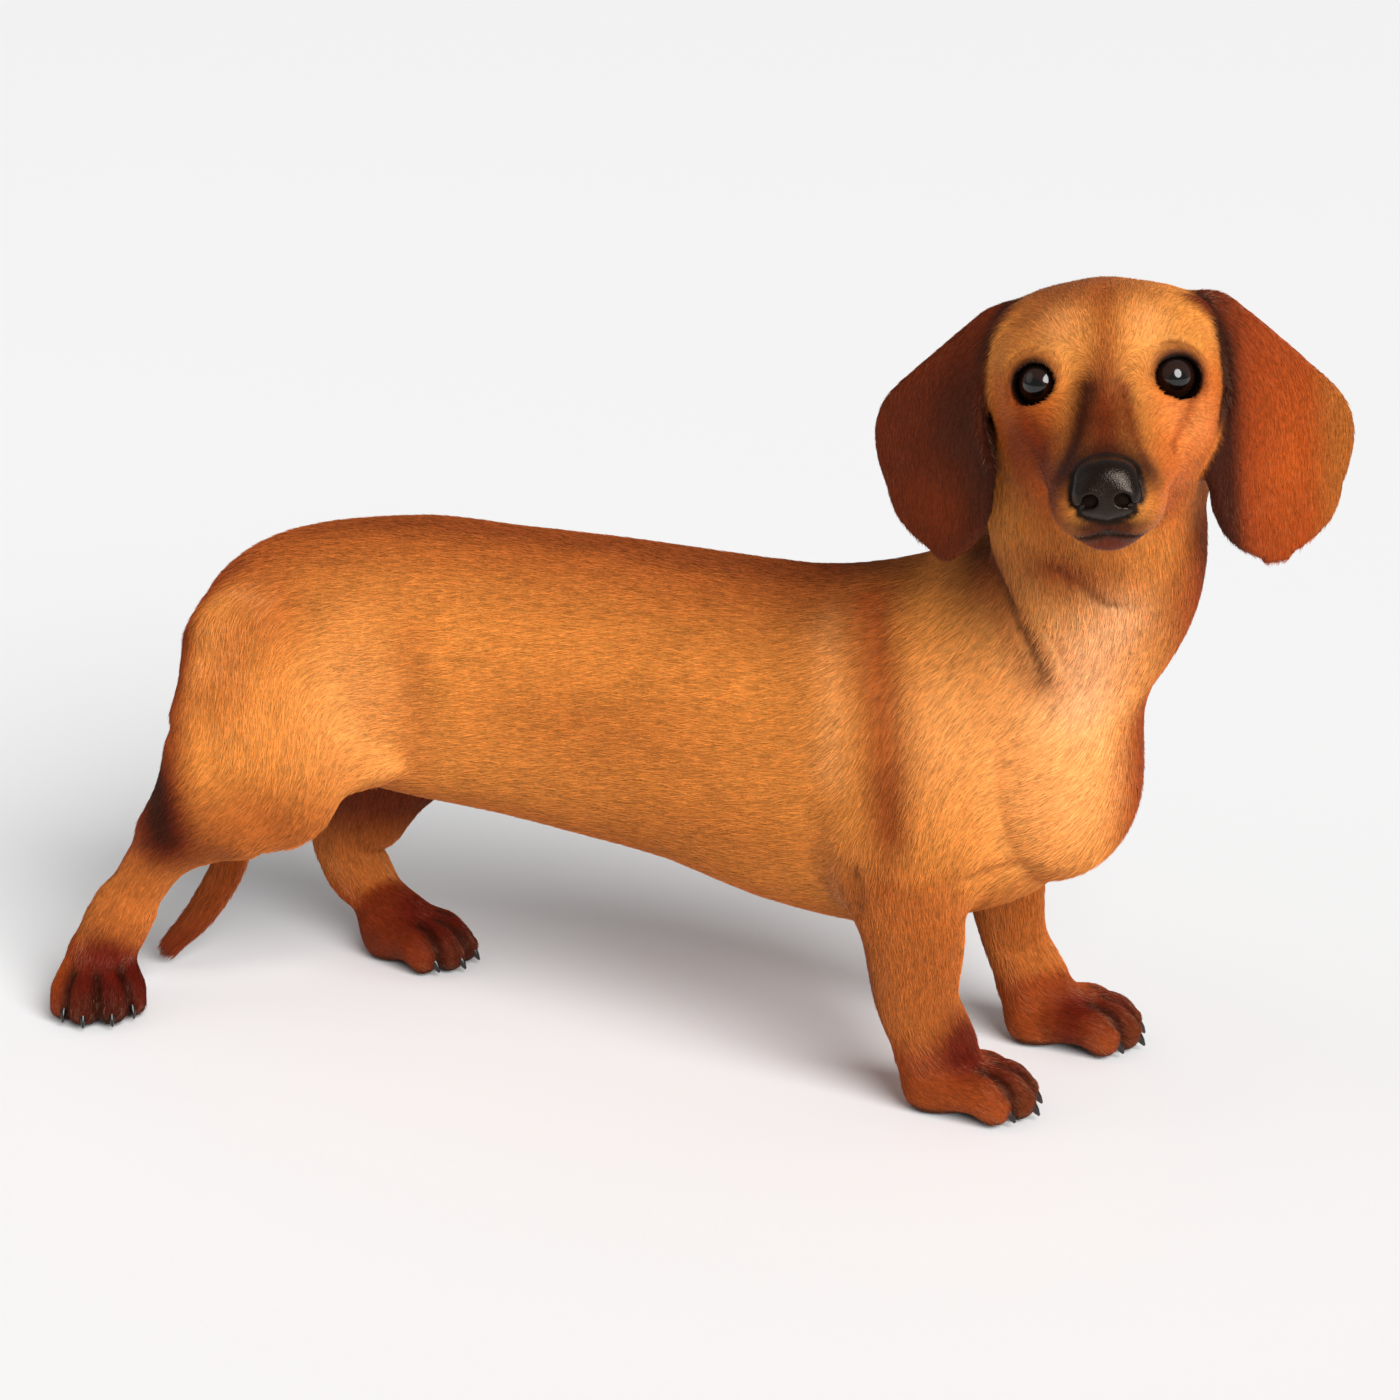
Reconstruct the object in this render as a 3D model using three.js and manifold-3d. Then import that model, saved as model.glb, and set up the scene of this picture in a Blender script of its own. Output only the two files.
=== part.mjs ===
// A smooth-haired dachshund, life size, standing with its head turned to its right.
// Millimetres. +X is forward, +Y is the dog's left, +Z is up, and the soles stand on z = 0.
//
// The body is one smooth field: swept ovals and ellipsoids, run into each other. Each named
// part is the surface of that field, cut from its neighbours by flat cuts.
import * as THREE from 'three';
import { mergeVertices } from 'three/addons/utils/BufferGeometryUtils.js';
import Module from 'manifold-3d';

const wasm = await Module();
wasm.setup();

// ---- driving dimensions -----------------------------------------------------------------

const COAT_DEPTH = 1.5; // the short coat stands this far off the skin
const CUT_GAP = 0.3; // between neighbouring parts
const PAD_PRESS = 0.6; // how far the pads of a paw press into the floor, which cuts them flat
const CENTRING = [6.5, 33.3, 0]; // moves the middle of the footprint to the origin

const EYE_SPACING = 41.4; // between the two pupils
const EYE_RADIUS = 9.2;
const EYE_SPLAY = 18; // each eye looks this far outward, degrees
const LID_REACH = { across: 8.8, up: 8 }; // half the opening between the lids
const HEAD_AT = [172, -79, 292]; // the point midway between the eyes
const HEAD_YAW = -78; // the head looks to the dog's right, nearly square to the body
const HEAD_ROLL = 4.5;
const EAR_DROP = 71; // from the level of the eyes to the tip of the longer ear
const CLAW_LENGTH = 7.2;

const LATERAL = [0, 1, 0];
const FAR = 60; // a distance that counts as nowhere near

// ---- small vector helpers ---------------------------------------------------------------

const add = (a, b, s = 1) => [a[0] + b[0] * s, a[1] + b[1] * s, a[2] + b[2] * s];
const dot = (a, b) => a[0] * b[0] + a[1] * b[1] + a[2] * b[2];
const cross = (a, b) => [
  a[1] * b[2] - a[2] * b[1],
  a[2] * b[0] - a[0] * b[2],
  a[0] * b[1] - a[1] * b[0],
];
const unit = (a) => a.map((v) => v / Math.hypot(...a));
const mix = (a, b, t) => a.map((v, i) => v + (b[i] - v) * t);
const clamp = (v, lo, hi) => Math.min(Math.max(v, lo), hi);
const radians = THREE.MathUtils.degToRad;

// The direction across the body where it faces `yaw` degrees off straight ahead.
const across = (yaw) => [-Math.sin(radians(yaw)), Math.cos(radians(yaw)), 0];

// Smooth union of two distances over a width k.
function blend(a, b, k) {
  const h = Math.max(k - Math.abs(a - b), 0) / k;
  return Math.min(a, b) - (h * h * k) / 4;
}

// Catmull-Rom through rows of any length.
function spline(rows, steps) {
  const n = rows.length;
  const first = mix(rows[1], rows[0], 2);
  const last = mix(rows[n - 2], rows[n - 1], 2);
  const q = [first, ...rows, last];
  const out = [];
  for (let i = 0; i < n - 1; i++) {
    for (let s = 0; s < steps; s++) {
      const t = s / steps;
      out.push(
        q[i].map((p0, c) => {
          const [p1, p2, p3] = [q[i + 1][c], q[i + 2][c], q[i + 3][c]];
          const bend = 2 * p0 - 5 * p1 + 4 * p2 - p3;
          const twist = 3 * p1 - p0 - 3 * p2 + p3;
          return 0.5 * (2 * p1 + (p2 - p0) * t + bend * t * t + twist * t * t * t);
        }),
      );
    }
  }
  out.push(rows[n - 1]);
  return out;
}

// ---- shapes of the field ----------------------------------------------------------------

// Signed distance to an ellipsoid, near enough, from its own coordinates and radii.
function ovalDistance(q, r) {
  const k0 = Math.hypot(q[0] / r[0], q[1] / r[1], q[2] / r[2]);
  const k1 = Math.hypot(q[0] / r[0] ** 2, q[1] / r[1] ** 2, q[2] / r[2] ** 2);
  return (k0 * (k0 - 1)) / Math.max(k1, 1e-4);
}

// Oval sections along a curve. A row is x, y, z, half-width along `side`, half-depth across it.
class Sweep {
  constructor(rows, side, { soft = 8, caps, steps = 6 } = {}) {
    const s = spline(rows, steps);
    const sides = Array.isArray(side[0]) ? spline(side, steps) : s.map(() => side);
    this.c = s.map((r) => r.slice(0, 3));
    this.a = s.map((r) => r[3]);
    this.b = s.map((r) => r[4]);
    this.t = this.c.map((_, i) => {
      const ahead = this.c[Math.min(i + 1, s.length - 1)];
      return unit(add(ahead, this.c[Math.max(i - 1, 0)], -1));
    });
    this.u = sides.map((v, i) => unit(add(v, this.t[i], -dot(v, this.t[i]))));
    this.v = this.u.map((u, i) => cross(this.t[i], u));
    const end = s.length - 1;
    const step = (i) => add(this.c[i + 1], this.c[i], -1);
    this.gap = this.c.map((c, i) => Math.hypot(...step(Math.min(i, end - 1))));
    this.caps = caps ?? [Math.min(this.a[0], this.b[0]), Math.min(this.a[end], this.b[end])];
    this.soft = soft;
  }

  // The nearest station, as a fraction of the way along the samples.
  station(p) {
    let best = 0;
    let least = Infinity;
    this.c.forEach((c, i) => {
      const d = (p[0] - c[0]) ** 2 + (p[1] - c[1]) ** 2 + (p[2] - c[2]) ** 2;
      if (d < least) [least, best] = [d, i];
    });
    const along = dot(add(p, this.c[best], -1), this.t[best]);
    const last = this.c.length - 1;
    const f = best + along / this.gap[along > 0 ? best : Math.max(best - 1, 0)];
    return clamp(f, Math.max(best - 0.5, 0), Math.min(best + 0.5, last));
  }

  distance(p) {
    const f = this.station(p);
    const last = this.c.length - 1;
    const i = Math.min(Math.floor(f), last - 1);
    const w = f - i;
    const q = add(p, mix(this.c[i], this.c[i + 1], w), -1);
    const before = Math.min(dot(q, this.t[0]), 0);
    const beyond = Math.max(dot(q, this.t[last]), 0);
    const over = f <= 0 ? before : f >= last ? beyond : 0;
    const a = this.a[i] + (this.a[i + 1] - this.a[i]) * w;
    const b = this.b[i] + (this.b[i + 1] - this.b[i]) * w;
    const [u, v] = [this.u, this.v].map((axis) => mix(axis[i], axis[i + 1], w));
    const local = [dot(q, u), dot(q, v), over];
    return ovalDistance(local, [a, b, this.caps[f >= last ? 1 : 0]]);
  }
}

class Ball {
  constructor(centre, radii, { soft = 8 } = {}) {
    Object.assign(this, { centre, radii, soft });
  }

  distance(p) {
    return ovalDistance(add(p, this.centre, -1), this.radii);
  }
}

// Shapes in a frame of their own. A mirrored group folds its left half onto its right.
class Group {
  constructor(shapes, { at = [0, 0, 0], yaw = 0, roll = 0, mirrored = false } = {}) {
    Object.assign(this, { shapes, mirrored });
    const turned = new THREE.Matrix4().makeRotationX(radians(roll));
    this.matrix = new THREE.Matrix4().makeRotationZ(radians(yaw)).multiply(turned).setPosition(...at);
    this.inverse = this.matrix.clone().invert();
  }

  local(p) {
    const q = new THREE.Vector3(...p).applyMatrix4(this.inverse);
    return [q.x, this.mirrored ? Math.abs(q.y) : q.y, q.z];
  }

  place(q) {
    return new THREE.Vector3(...q).applyMatrix4(this.matrix).toArray();
  }

  join(p, d) {
    const q = this.local(p);
    for (const shape of this.shapes) d = blend(d, shape.distance(q), shape.soft);
    return d;
  }
}

// ---- trunk and neck ---------------------------------------------------------------------

const trunk = new Sweep(
  [
    [-189, 2, 132.5, 36, 38.5],
    [-165, 2, 144.5, 44.5, 49],
    [-120, 2, 146.5, 45, 56],
    [-80, 2, 144.5, 43, 57.5],
    [-40, 2, 141.5, 45, 59.5],
    [0, 2, 137.5, 48, 61.5],
    [45, 0, 131.5, 50, 66.5],
    [85, -4, 130, 50, 66],
    [118, -10, 131, 46, 54],
    [142, -15, 134, 38, 41],
  ],
  [0, 0, 0, 0, 0, 0, -3, -9, -14, -18].map(across),
  { soft: 6, caps: [24, 33] },
);

const neck = new Sweep(
  [
    [90, -6, 148, 44, 50],
    [128, -12.5, 178, 40, 46],
    [157.5, -24, 211, 37.5, 38.5],
    [160.5, -41.5, 250, 37.5, 36],
    [160, -52, 284, 34, 31],
  ],
  [-8, -14, -30, -60, -78].map(across),
  { soft: 22 },
);

const tail = new Sweep(
  [
    [-196, 3, 161, 13, 13],
    [-209, 6, 146, 11, 12],
    [-216.5, 8, 126, 9.5, 10.5],
    [-217, 9, 104, 8.5, 9.5],
    [-213, 8, 76, 7.6, 8.6],
    [-210.5, 7, 51, 6.2, 7.2],
    [-221, 3, 28, 5.4, 6.4],
    [-236, -3, 9, 3.8, 4.2],
  ],
  LATERAL,
  { soft: 6 },
);

// ---- legs -------------------------------------------------------------------------------

const thighRight = new Sweep(
  [
    [-178, -24, 155, 24, 28],
    [-174, -37, 128, 17, 37.5],
    [-173, -42, 109, 14, 39],
    [-186, -44, 97, 11, 27],
  ],
  LATERAL,
  { soft: 14, caps: [18, 15] },
);
const thighLeft = new Sweep(
  [
    [-176, 24, 156, 25, 30],
    [-166, 36, 124, 17, 37],
    [-158, 42, 100, 14, 34],
    [-155, 43, 85, 12, 32],
  ],
  LATERAL,
  { soft: 14, caps: [18, 18] },
);
const hamstring = new Sweep(
  [
    [-198.5, -41, 121, 9, 10],
    [-200.5, -43, 108, 10, 11],
    [-205, -44, 95, 10, 11],
    [-212, -45, 81, 9.5, 10],
  ],
  LATERAL,
  { soft: 10, caps: [8, 6] },
);
const flankFold = new Ball([-133, -35, 113], [17, 9, 10], { soft: 12 });
const shankRight = new Sweep(
  [
    [-182, -44, 90, 13, 20],
    [-209, -45, 72, 12, 13],
    [-224, -46, 53, 10.5, 10.5],
    [-234.5, -48, 36, 11, 11],
  ],
  LATERAL,
  { soft: 10 },
);
const shankLeft = new Sweep(
  [
    [-160, 44, 88, 13, 28],
    [-170, 45, 64, 12, 23],
    [-176, 45.5, 46, 10, 15.5],
    [-170, 45.5, 32, 9.5, 12.5],
  ],
  LATERAL,
  { soft: 10 },
);
const hockRight = new Sweep(
  [
    [-231, -47, 42, 10.5, 11],
    [-238, -50.5, 27, 11, 12],
    [-241, -54, 16, 12, 12],
  ],
  LATERAL,
  { soft: 7 },
);
const hockLeft = new Sweep(
  [
    [-172, 45.5, 36, 9, 12],
    [-161, 44, 23, 10, 10.5],
    [-149, 41, 14, 12, 10],
  ],
  LATERAL,
  { soft: 7 },
);
const foreLegRight = new Sweep(
  [
    [90, -30, 150, 24, 34],
    [95, -39, 122, 19, 31],
    [95, -43, 96, 16.5, 24],
    [98.8, -42, 73, 14.5, 20.3],
    [99.3, -37, 47, 12.5, 16.3],
    [105.5, -33, 28, 12.5, 15.5],
  ],
  [-10, -12, -12, -12, -8, 0].map(across),
  { soft: 12 },
);
const foreLegLeft = new Sweep(
  [
    [104, 24, 150, 24, 34],
    [110, 36, 122, 18, 28],
    [108, 42, 96, 15, 21],
    [111, 43, 72, 13, 17],
    [115.5, 43.5, 46, 11, 13],
    [122, 46.5, 28, 11.5, 13.5],
  ],
  [-10, -12, -12, -8, 4, 10].map(across),
  { soft: 12 },
);

// A paw points along +X: two long toes between two short ones, over the pads.
const PAW_LENGTH = 42;
const PAW_WIDTH = 33;
const TOES = [
  { y: 5.6, reach: 19, splay: 3 },
  { y: -5.6, reach: 19, splay: -3 },
  { y: 13.2, reach: 11.5, splay: 10 },
  { y: -13.2, reach: 11.5, splay: -10 },
];

function makePaw({ at, yaw, length, width, heel }) {
  const s = length / PAW_LENGTH;
  const w = width / PAW_WIDTH;
  const instep = [
    [-13 * s - heel, 0, 20, 11 * w, 11],
    [-3 * s - heel / 2, 0, 13.5, 14 * w, 11.5],
    [5 * s, 0, 10.5, 14 * w, 9.5],
  ];
  const shapes = [
    new Sweep(instep, LATERAL, { soft: 10, caps: [9, 8] }),
    new Ball([-12 * s - heel, 0, 8.5], [10 * s, 11 * w, 9.5], { soft: 8 }),
  ];
  const claws = [];
  for (const toe of TOES) {
    const y = toe.y * w;
    const tip = toe.reach * s;
    const drift = Math.tan(radians(toe.splay)) * 12;
    const rows = [
      [tip - 20 * s, 0.72 * y, 14, 5.2, 6.5],
      [tip - 8 * s, y - drift * 0.2, 12.4, 6.3, 7.6],
      [tip - 1.5 * s, y + drift * 0.2, 7.6, 6, 6.6],
    ];
    shapes.push(new Sweep(rows, LATERAL, { soft: 2.2, caps: [6, 5.2] }));
    claws.push({ root: [tip, y + drift * 0.25, 8.6], splay: toe.splay });
  }
  return Object.assign(new Group(shapes, { at, yaw }), { claws });
}

const paws = {
  fore_right: makePaw({ at: [119.5, -30, -PAD_PRESS], yaw: 9, length: 46, width: 31, heel: 1 }),
  fore_left: makePaw({ at: [142.5, 48, -PAD_PRESS], yaw: 12, length: 45, width: 35, heel: 5 }),
  hind_right: makePaw({ at: [-239, -57, -PAD_PRESS], yaw: -62, length: 40, width: 31.5, heel: 0 }),
  hind_left: makePaw({ at: [-140, 38, -PAD_PRESS], yaw: -6, length: 44, width: 31, heel: 2 }),
};

// ---- head: x forward, y left and z up from the point midway between the eyes ----------------

// The left eye, and the way it faces; the right one is its mirror image.
const EYE = [-5, EYE_SPACING / 2, 0];
const facing = [Math.cos(radians(EYE_SPLAY)), Math.sin(radians(EYE_SPLAY)), 0];
const beside = [-facing[1], facing[0], 0];

// One lid: a ridge round the eye, from past one corner to past the other, starting at `from` degrees.
const LID_TURN = 220; // degrees
const LID_ROWS = 12;

function lid(from, { ahead, thickness }) {
  const rows = Array.from({ length: LID_ROWS }, (_, i) => {
    const angle = radians(from + (LID_TURN * i) / (LID_ROWS - 1));
    const [x, y, z] = add(add(EYE, facing, ahead), beside, LID_REACH.across * Math.cos(angle));
    return [x, y, z + LID_REACH.up * Math.sin(angle), thickness, thickness];
  });
  return new Sweep(rows, [1, 0, 0], { soft: 3.5, caps: [1.5, 1.5] });
}

const head = new Group(
  [
    new Ball([-34, 0, -1.5], [37, 34, 30], { soft: 10 }), // braincase
    new Ball([-31, 21, 8], [23, 16, 15], { soft: 10 }), // corner of the skull, in front of the ear
    new Ball([-16, 0, 0], [24, 30, 22], { soft: 12 }), // forehead
    new Ball([-14, 23.5, -14], [24, 12.5, 20], { soft: 12 }), // cheek
    new Ball([-32, 0, -29], [34, 33.5, 27], { soft: 14 }), // root of the jaw
    new Sweep(
      [
        [-20, 0, -15, 30, 26],
        [0, 0, -19.5, 27, 21],
        [16, 0, -23.5, 23, 17.5],
        [34, 0, -26.5, 18.5, 15],
        [47, 0, -28, 15, 13.5],
      ],
      LATERAL,
      { soft: 12, caps: [10, 8] },
    ), // muzzle
    new Ball([39, 7.5, -32], [15.5, 10, 10.6], { soft: 7 }), // upper lip
    new Ball([51.5, 0, -26], [7.5, 10.5, 9.8], { soft: 3 }), // nose
    new Sweep(
      [
        [-22, 0, -42, 23, 12],
        [4, 0, -42, 16, 9.5],
        [28, 0, -42, 10.5, 7],
        [41, 0, -42, 8, 5],
      ],
      LATERAL,
      { soft: 4, caps: [10, 6] },
    ), // jaw
    lid(-20, { ahead: 4.6, thickness: 1.9 }),
    lid(160, { ahead: 4.2, thickness: 1.6 }),
  ],
  { at: HEAD_AT, yaw: HEAD_YAW, roll: HEAD_ROLL, mirrored: true },
);

// ---- the whole body as a field --------------------------------------------------------------

const flesh = new Group([
  trunk,
  neck,
  thighRight,
  thighLeft,
  hamstring,
  flankFold,
  shankRight,
  shankLeft,
  hockRight,
  hockLeft,
  tail,
  foreLegRight,
  foreLegLeft,
]);
const bodyGroups = [flesh, ...Object.values(paws), head];

function coat(p, proud = 0) {
  let d = FAR;
  for (const group of bodyGroups) d = group.join(p, d);
  return d - COAT_DEPTH - proud;
}

// ---- surface of a field, as a closed mesh -----------------------------------------------------

const CORNERS = [0, 1, 2, 3, 4, 5, 6, 7].map((n) => [n & 1, (n >> 1) & 1, n >> 2]);
const EDGES = [];
CORNERS.forEach((a, i) =>
  CORNERS.forEach((b, j) => {
    const apart = Math.abs(a[0] - b[0]) + Math.abs(a[1] - b[1]) + Math.abs(a[2] - b[2]);
    if (i < j && apart === 1) EDGES.push([i, j]);
  }),
);

// One vertex in each cell that the surface crosses, joined over each crossed grid edge.
function surfaceOf(field, low, high, cell) {
  const n = [0, 1, 2].map((k) => Math.ceil((high[k] - low[k]) / cell) + 1);
  const size = n.map((count, k) => (high[k] - low[k]) / (count - 1));
  const index = (i, j, k) => (i * n[1] + j) * n[2] + k;
  const point = (i, j, k) => [low[0] + i * size[0], low[1] + j * size[1], low[2] + k * size[2]];
  const value = new Float64Array(n[0] * n[1] * n[2]);
  for (let i = 0; i < n[0]; i++) {
    for (let j = 0; j < n[1]; j++) {
      for (let k = 0; k < n[2]; k++) value[index(i, j, k)] = field(point(i, j, k));
    }
  }
  const vertices = [];
  const vertexOf = new Map();
  for (let i = 0; i < n[0] - 1; i++) {
    for (let j = 0; j < n[1] - 1; j++) {
      for (let k = 0; k < n[2] - 1; k++) {
        const at = CORNERS.map((c) => value[index(i + c[0], j + c[1], k + c[2])]);
        let sum = [0, 0, 0];
        let crossings = 0;
        for (const [a, b] of EDGES) {
          if (at[a] < 0 === at[b] < 0) continue;
          sum = add(sum, mix(CORNERS[a], CORNERS[b], at[a] / (at[a] - at[b])));
          crossings += 1;
        }
        if (!crossings) continue;
        vertexOf.set(index(i, j, k), vertices.length);
        vertices.push(point(i + sum[0] / crossings, j + sum[1] / crossings, k + sum[2] / crossings));
      }
    }
  }
  const triangles = [];
  for (let i = 1; i < n[0] - 1; i++) {
    for (let j = 1; j < n[1] - 1; j++) {
      for (let k = 1; k < n[2] - 1; k++) {
        const here = [i, j, k];
        for (let axis = 0; axis < 3; axis++) {
          const next = here.map((v, c) => v + (c === axis ? 1 : 0));
          const inside = value[index(...here)] < 0;
          if (inside === value[index(...next)] < 0) continue;
          const [u, v] = [(axis + 1) % 3, (axis + 2) % 3];
          const ring = [[-1, -1], [0, -1], [0, 0], [-1, 0]].map(([du, dv]) => {
            const cellAt = [...here];
            cellAt[u] += du;
            cellAt[v] += dv;
            return vertexOf.get(index(...cellAt));
          });
          if (!inside) ring.reverse();
          const [a, b, c, d] = ring;
          const span = (p, q) => Math.hypot(...add(vertices[p], vertices[q], -1));
          if (span(a, c) < span(b, d)) triangles.push(a, b, c, a, c, d);
          else triangles.push(a, b, d, b, c, d);
        }
      }
    }
  }
  return { vertices, triangles };
}

// Move the vertices straight onto the surface of the field.
function settle(field, vertices, longest) {
  const h = 0.4;
  return vertices.map((v) => {
    const d = field(v);
    const slope = [0, 1, 2].map((k) => {
      const step = [0, 0, 0];
      step[k] = h;
      return (field(add(v, step)) - field(add(v, step, -1))) / (2 * h);
    });
    const size = Math.max(dot(slope, slope), 0.05);
    const move = Math.min(Math.abs(d) / Math.sqrt(size), longest) * Math.sign(d);
    return add(v, slope, -move / Math.sqrt(size));
  });
}

const BOUNDS = { low: [-270, -150, -8], high: [262, 76, 330] }; // of the whole field

// ---- solids -------------------------------------------------------------------------------------

function solidOf(positions, triangles) {
  const vertProperties = new Float32Array(positions.flat());
  const triVerts = new Uint32Array(triangles);
  return new wasm.Manifold(new wasm.Mesh({ numProp: 3, vertProperties, triVerts }));
}

function solidOfGeometry(geometry) {
  const bare = new THREE.BufferGeometry().setAttribute('position', geometry.getAttribute('position'));
  if (geometry.index) bare.setIndex(geometry.index);
  const merged = mergeVertices(bare, 1e-4);
  const vertProperties = new Float32Array(merged.attributes.position.array);
  const triVerts = new Uint32Array(merged.index.array);
  return new wasm.Manifold(new wasm.Mesh({ numProp: 3, vertProperties, triVerts }));
}

// A box from its lowest to its highest corner, in the frame of `matrix`.
function boxSolid({ low, high, matrix = new THREE.Matrix4() }, grow = 0) {
  const size = high.map((v, k) => v - low[k] + 2 * grow);
  const middle = mix(low, high, 0.5);
  const geometry = new THREE.BoxGeometry(...size).translate(...middle).applyMatrix4(matrix);
  return solidOfGeometry(geometry);
}

// The field's surface around a box, closed off a little outside it.
function fieldSolid({ low, high, matrix = new THREE.Matrix4() }, cell, field = coat) {
  const world = CORNERS.map((c) => c.map((v, k) => (v ? high[k] : low[k]))).map((c) =>
    new THREE.Vector3(...c).applyMatrix4(matrix).toArray(),
  );
  const room = cell * 1.2;
  const from = [0, 1, 2].map((k) => Math.max(Math.min(...world.map((c) => c[k])), BOUNDS.low[k]) - 2 * room);
  const to = [0, 1, 2].map((k) => Math.min(Math.max(...world.map((c) => c[k])), BOUNDS.high[k]) + 2 * room);
  const closed = (p) => {
    const out = [0, 1, 2].map((k) => Math.max(from[k] + room - p[k], p[k] - to[k] + room));
    return Math.max(field(p), ...out);
  };
  const { vertices, triangles } = surfaceOf(closed, from, to, cell);
  return solidOf(settle(closed, vertices, cell * 0.3), triangles);
}

// A part of the body: all of it that is in the box and in no box before it.
const taken = [];

function fleshSolid(box, cell) {
  let solid = fieldSolid(box, cell).intersect(boxSolid(box));
  for (const other of taken) solid = solid.subtract(boxSolid(other, CUT_GAP));
  taken.push(box);
  return solid;
}

// Rings of points joined into a closed tube with flat ends.
function loft(rings) {
  const sides = rings[0].length;
  const triangles = [];
  for (let r = 0; r + 1 < rings.length; r++) {
    for (let s = 0; s < sides; s++) {
      const a = r * sides + s;
      const b = r * sides + ((s + 1) % sides);
      triangles.push(a, b, b + sides, a, b + sides, a + sides);
    }
  }
  const end = (rings.length - 1) * sides;
  for (let s = 1; s + 1 < sides; s++) triangles.push(0, s + 1, s, end, end + s, end + s + 1);
  const solid = solidOf(rings.flat(), triangles);
  return solid.volume() < 0 ? solidOf(rings.flat(), triangles.reverse()) : solid;
}

// ---- ears: a leather flap that hangs from high on the skull -----------------------------------------

const EAR_SIDES = 8;
const EAR_CUP = 0.003;

// The edge of the flap below its root: x, y, share of the drop, half-width and half-thickness.
const FLAP = [
  [-30, 51.8, 0.127, 19, 2.4],
  [-31, 55.5, 0.38, 31.8, 2.2],
  [-30, 55.5, 0.634, 29, 2.1],
  [-29, 56, 0.803, 24.3, 2.1],
  [-28.7, 56, 0.86, 21.2, 2.1],
  [-28.4, 56, 0.915, 16.6, 2.1],
  [-28.1, 56, 0.972, 9.5, 2.1],
  [-28, 56, 1, 4, 1.8],
];
const ROOT = [
  [-26, 20, 16, 9, 5],
  [-29, 33, 17, 9, 3.8],
  [-30, 42, 9, 10.5, 3],
];

// `flare` carries the tip away from the cheek, `broader` widens the middle, `shorter` lifts the tip.
function earFlap(side, { flare, broader, shorter, turnedBack }) {
  const hanging = FLAP.map(([x, y, share, a, b]) => [x, y, -share * EAR_DROP, a, b]);
  const rows = [...ROOT, ...hanging].map(([x, y, z, a, b]) => {
    const t = (ROOT[0][2] - z) / (ROOT[0][2] + EAR_DROP);
    return [x, (y + flare * t) * side, z + shorter * t, a + broader * Math.sin(Math.PI * t), b];
  });
  const back = radians(turnedBack);
  const flap = new Sweep(rows, [-Math.sin(back), side * Math.cos(back), 0], { steps: 2 });
  const rings = flap.c.map((centre, i) =>
    Array.from({ length: EAR_SIDES }, (_, s) => {
      const angle = (2 * Math.PI * s) / EAR_SIDES;
      const x = (flap.a[i] + COAT_DEPTH) * Math.cos(angle);
      const y = (flap.b[i] + COAT_DEPTH) * Math.sign(Math.sin(angle)) * Math.abs(Math.sin(angle)) ** 0.5;
      const cupped = y + side * EAR_CUP * x * x;
      return head.place(add(add(centre, flap.u[i], x), flap.v[i], cupped));
    }),
  );
  return loft(rings);
}

// ---- claws -------------------------------------------------------------------------------------------

const CLAW_SIDES = 5;
const CLAW_RADIUS = 2.5;
const CLAW_TIP_RADIUS = 0.8;

function claw(paw, { root, splay }) {
  const heading = radians(splay);
  const rings = [0, 0.55, 1].map((t) => {
    const along = CLAW_LENGTH * t;
    const droop = 5.2 * t * t;
    const radius = CLAW_RADIUS + (CLAW_TIP_RADIUS - CLAW_RADIUS) * t;
    const centre = add(root, [along * Math.cos(heading), along * Math.sin(heading), -droop]);
    return Array.from({ length: CLAW_SIDES }, (_, s) => {
      const angle = (2 * Math.PI * s) / CLAW_SIDES;
      const sideways = radius * 0.8 * Math.cos(angle);
      const up = radius * Math.sin(angle);
      const offset = [-sideways * Math.sin(heading) + up * 0.5 * t, sideways * Math.cos(heading), up];
      return paw.place(add(centre, offset));
    });
  });
  return loft(rings);
}

// ---- materials -----------------------------------------------------------------------------------------

const paint = (color, roughness) => new THREE.MeshStandardMaterial({ color, roughness, metalness: 0 });
const fur = paint('#c9772f', 0.75);
const darkFur = paint('#8f4420', 0.75);
const paleFur = paint('#d99a5c', 0.75);
const noseLeather = paint('#1d1716', 0.45);
const eyeGloss = paint('#14100f', 0.1);
const horn = paint('#221a17', 0.4);

// ---- parts ------------------------------------------------------------------------------------------------

const WIDE = 400;
const NECK_ROOT = { at: [128, -12, 184], yaw: -18, pitch: -58 }; // the cut between neck and chest
const neckMatrix = new THREE.Matrix4()
  .makeRotationZ(radians(NECK_ROOT.yaw))
  .multiply(new THREE.Matrix4().makeRotationY(radians(NECK_ROOT.pitch)))
  .setPosition(...NECK_ROOT.at);
const parts = new Map();

// A cut can leave a sliver beside a part, so its largest piece is the part.
function keep(name, solid, material) {
  const pieces = solid.decompose();
  const largest = pieces.reduce((best, piece) => (piece.volume() > best.volume() ? piece : best));
  parts.set(name, { solid: largest, material });
}

function addFlesh(name, low, high, cell, material, matrix) {
  keep(name, fleshSolid({ low, high, matrix }, cell), material);
}

// The head's own cuts run square to it, and come before the neck's and the trunk's.
addFlesh('nose', [49, -20, -38], [80, 20, 4], 5, noseLeather, head.matrix);
addFlesh('muzzle', [14, -40, -42], [80, 40, 20], 7.4, darkFur, head.matrix);
addFlesh('lower_jaw', [-4, -32, -70], [80, 32, -42 - CUT_GAP], 7.4, fur, head.matrix);
addFlesh('head', [-90, -48, -38], [14 - CUT_GAP, 48, 50], 9.4, fur, head.matrix);

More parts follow.
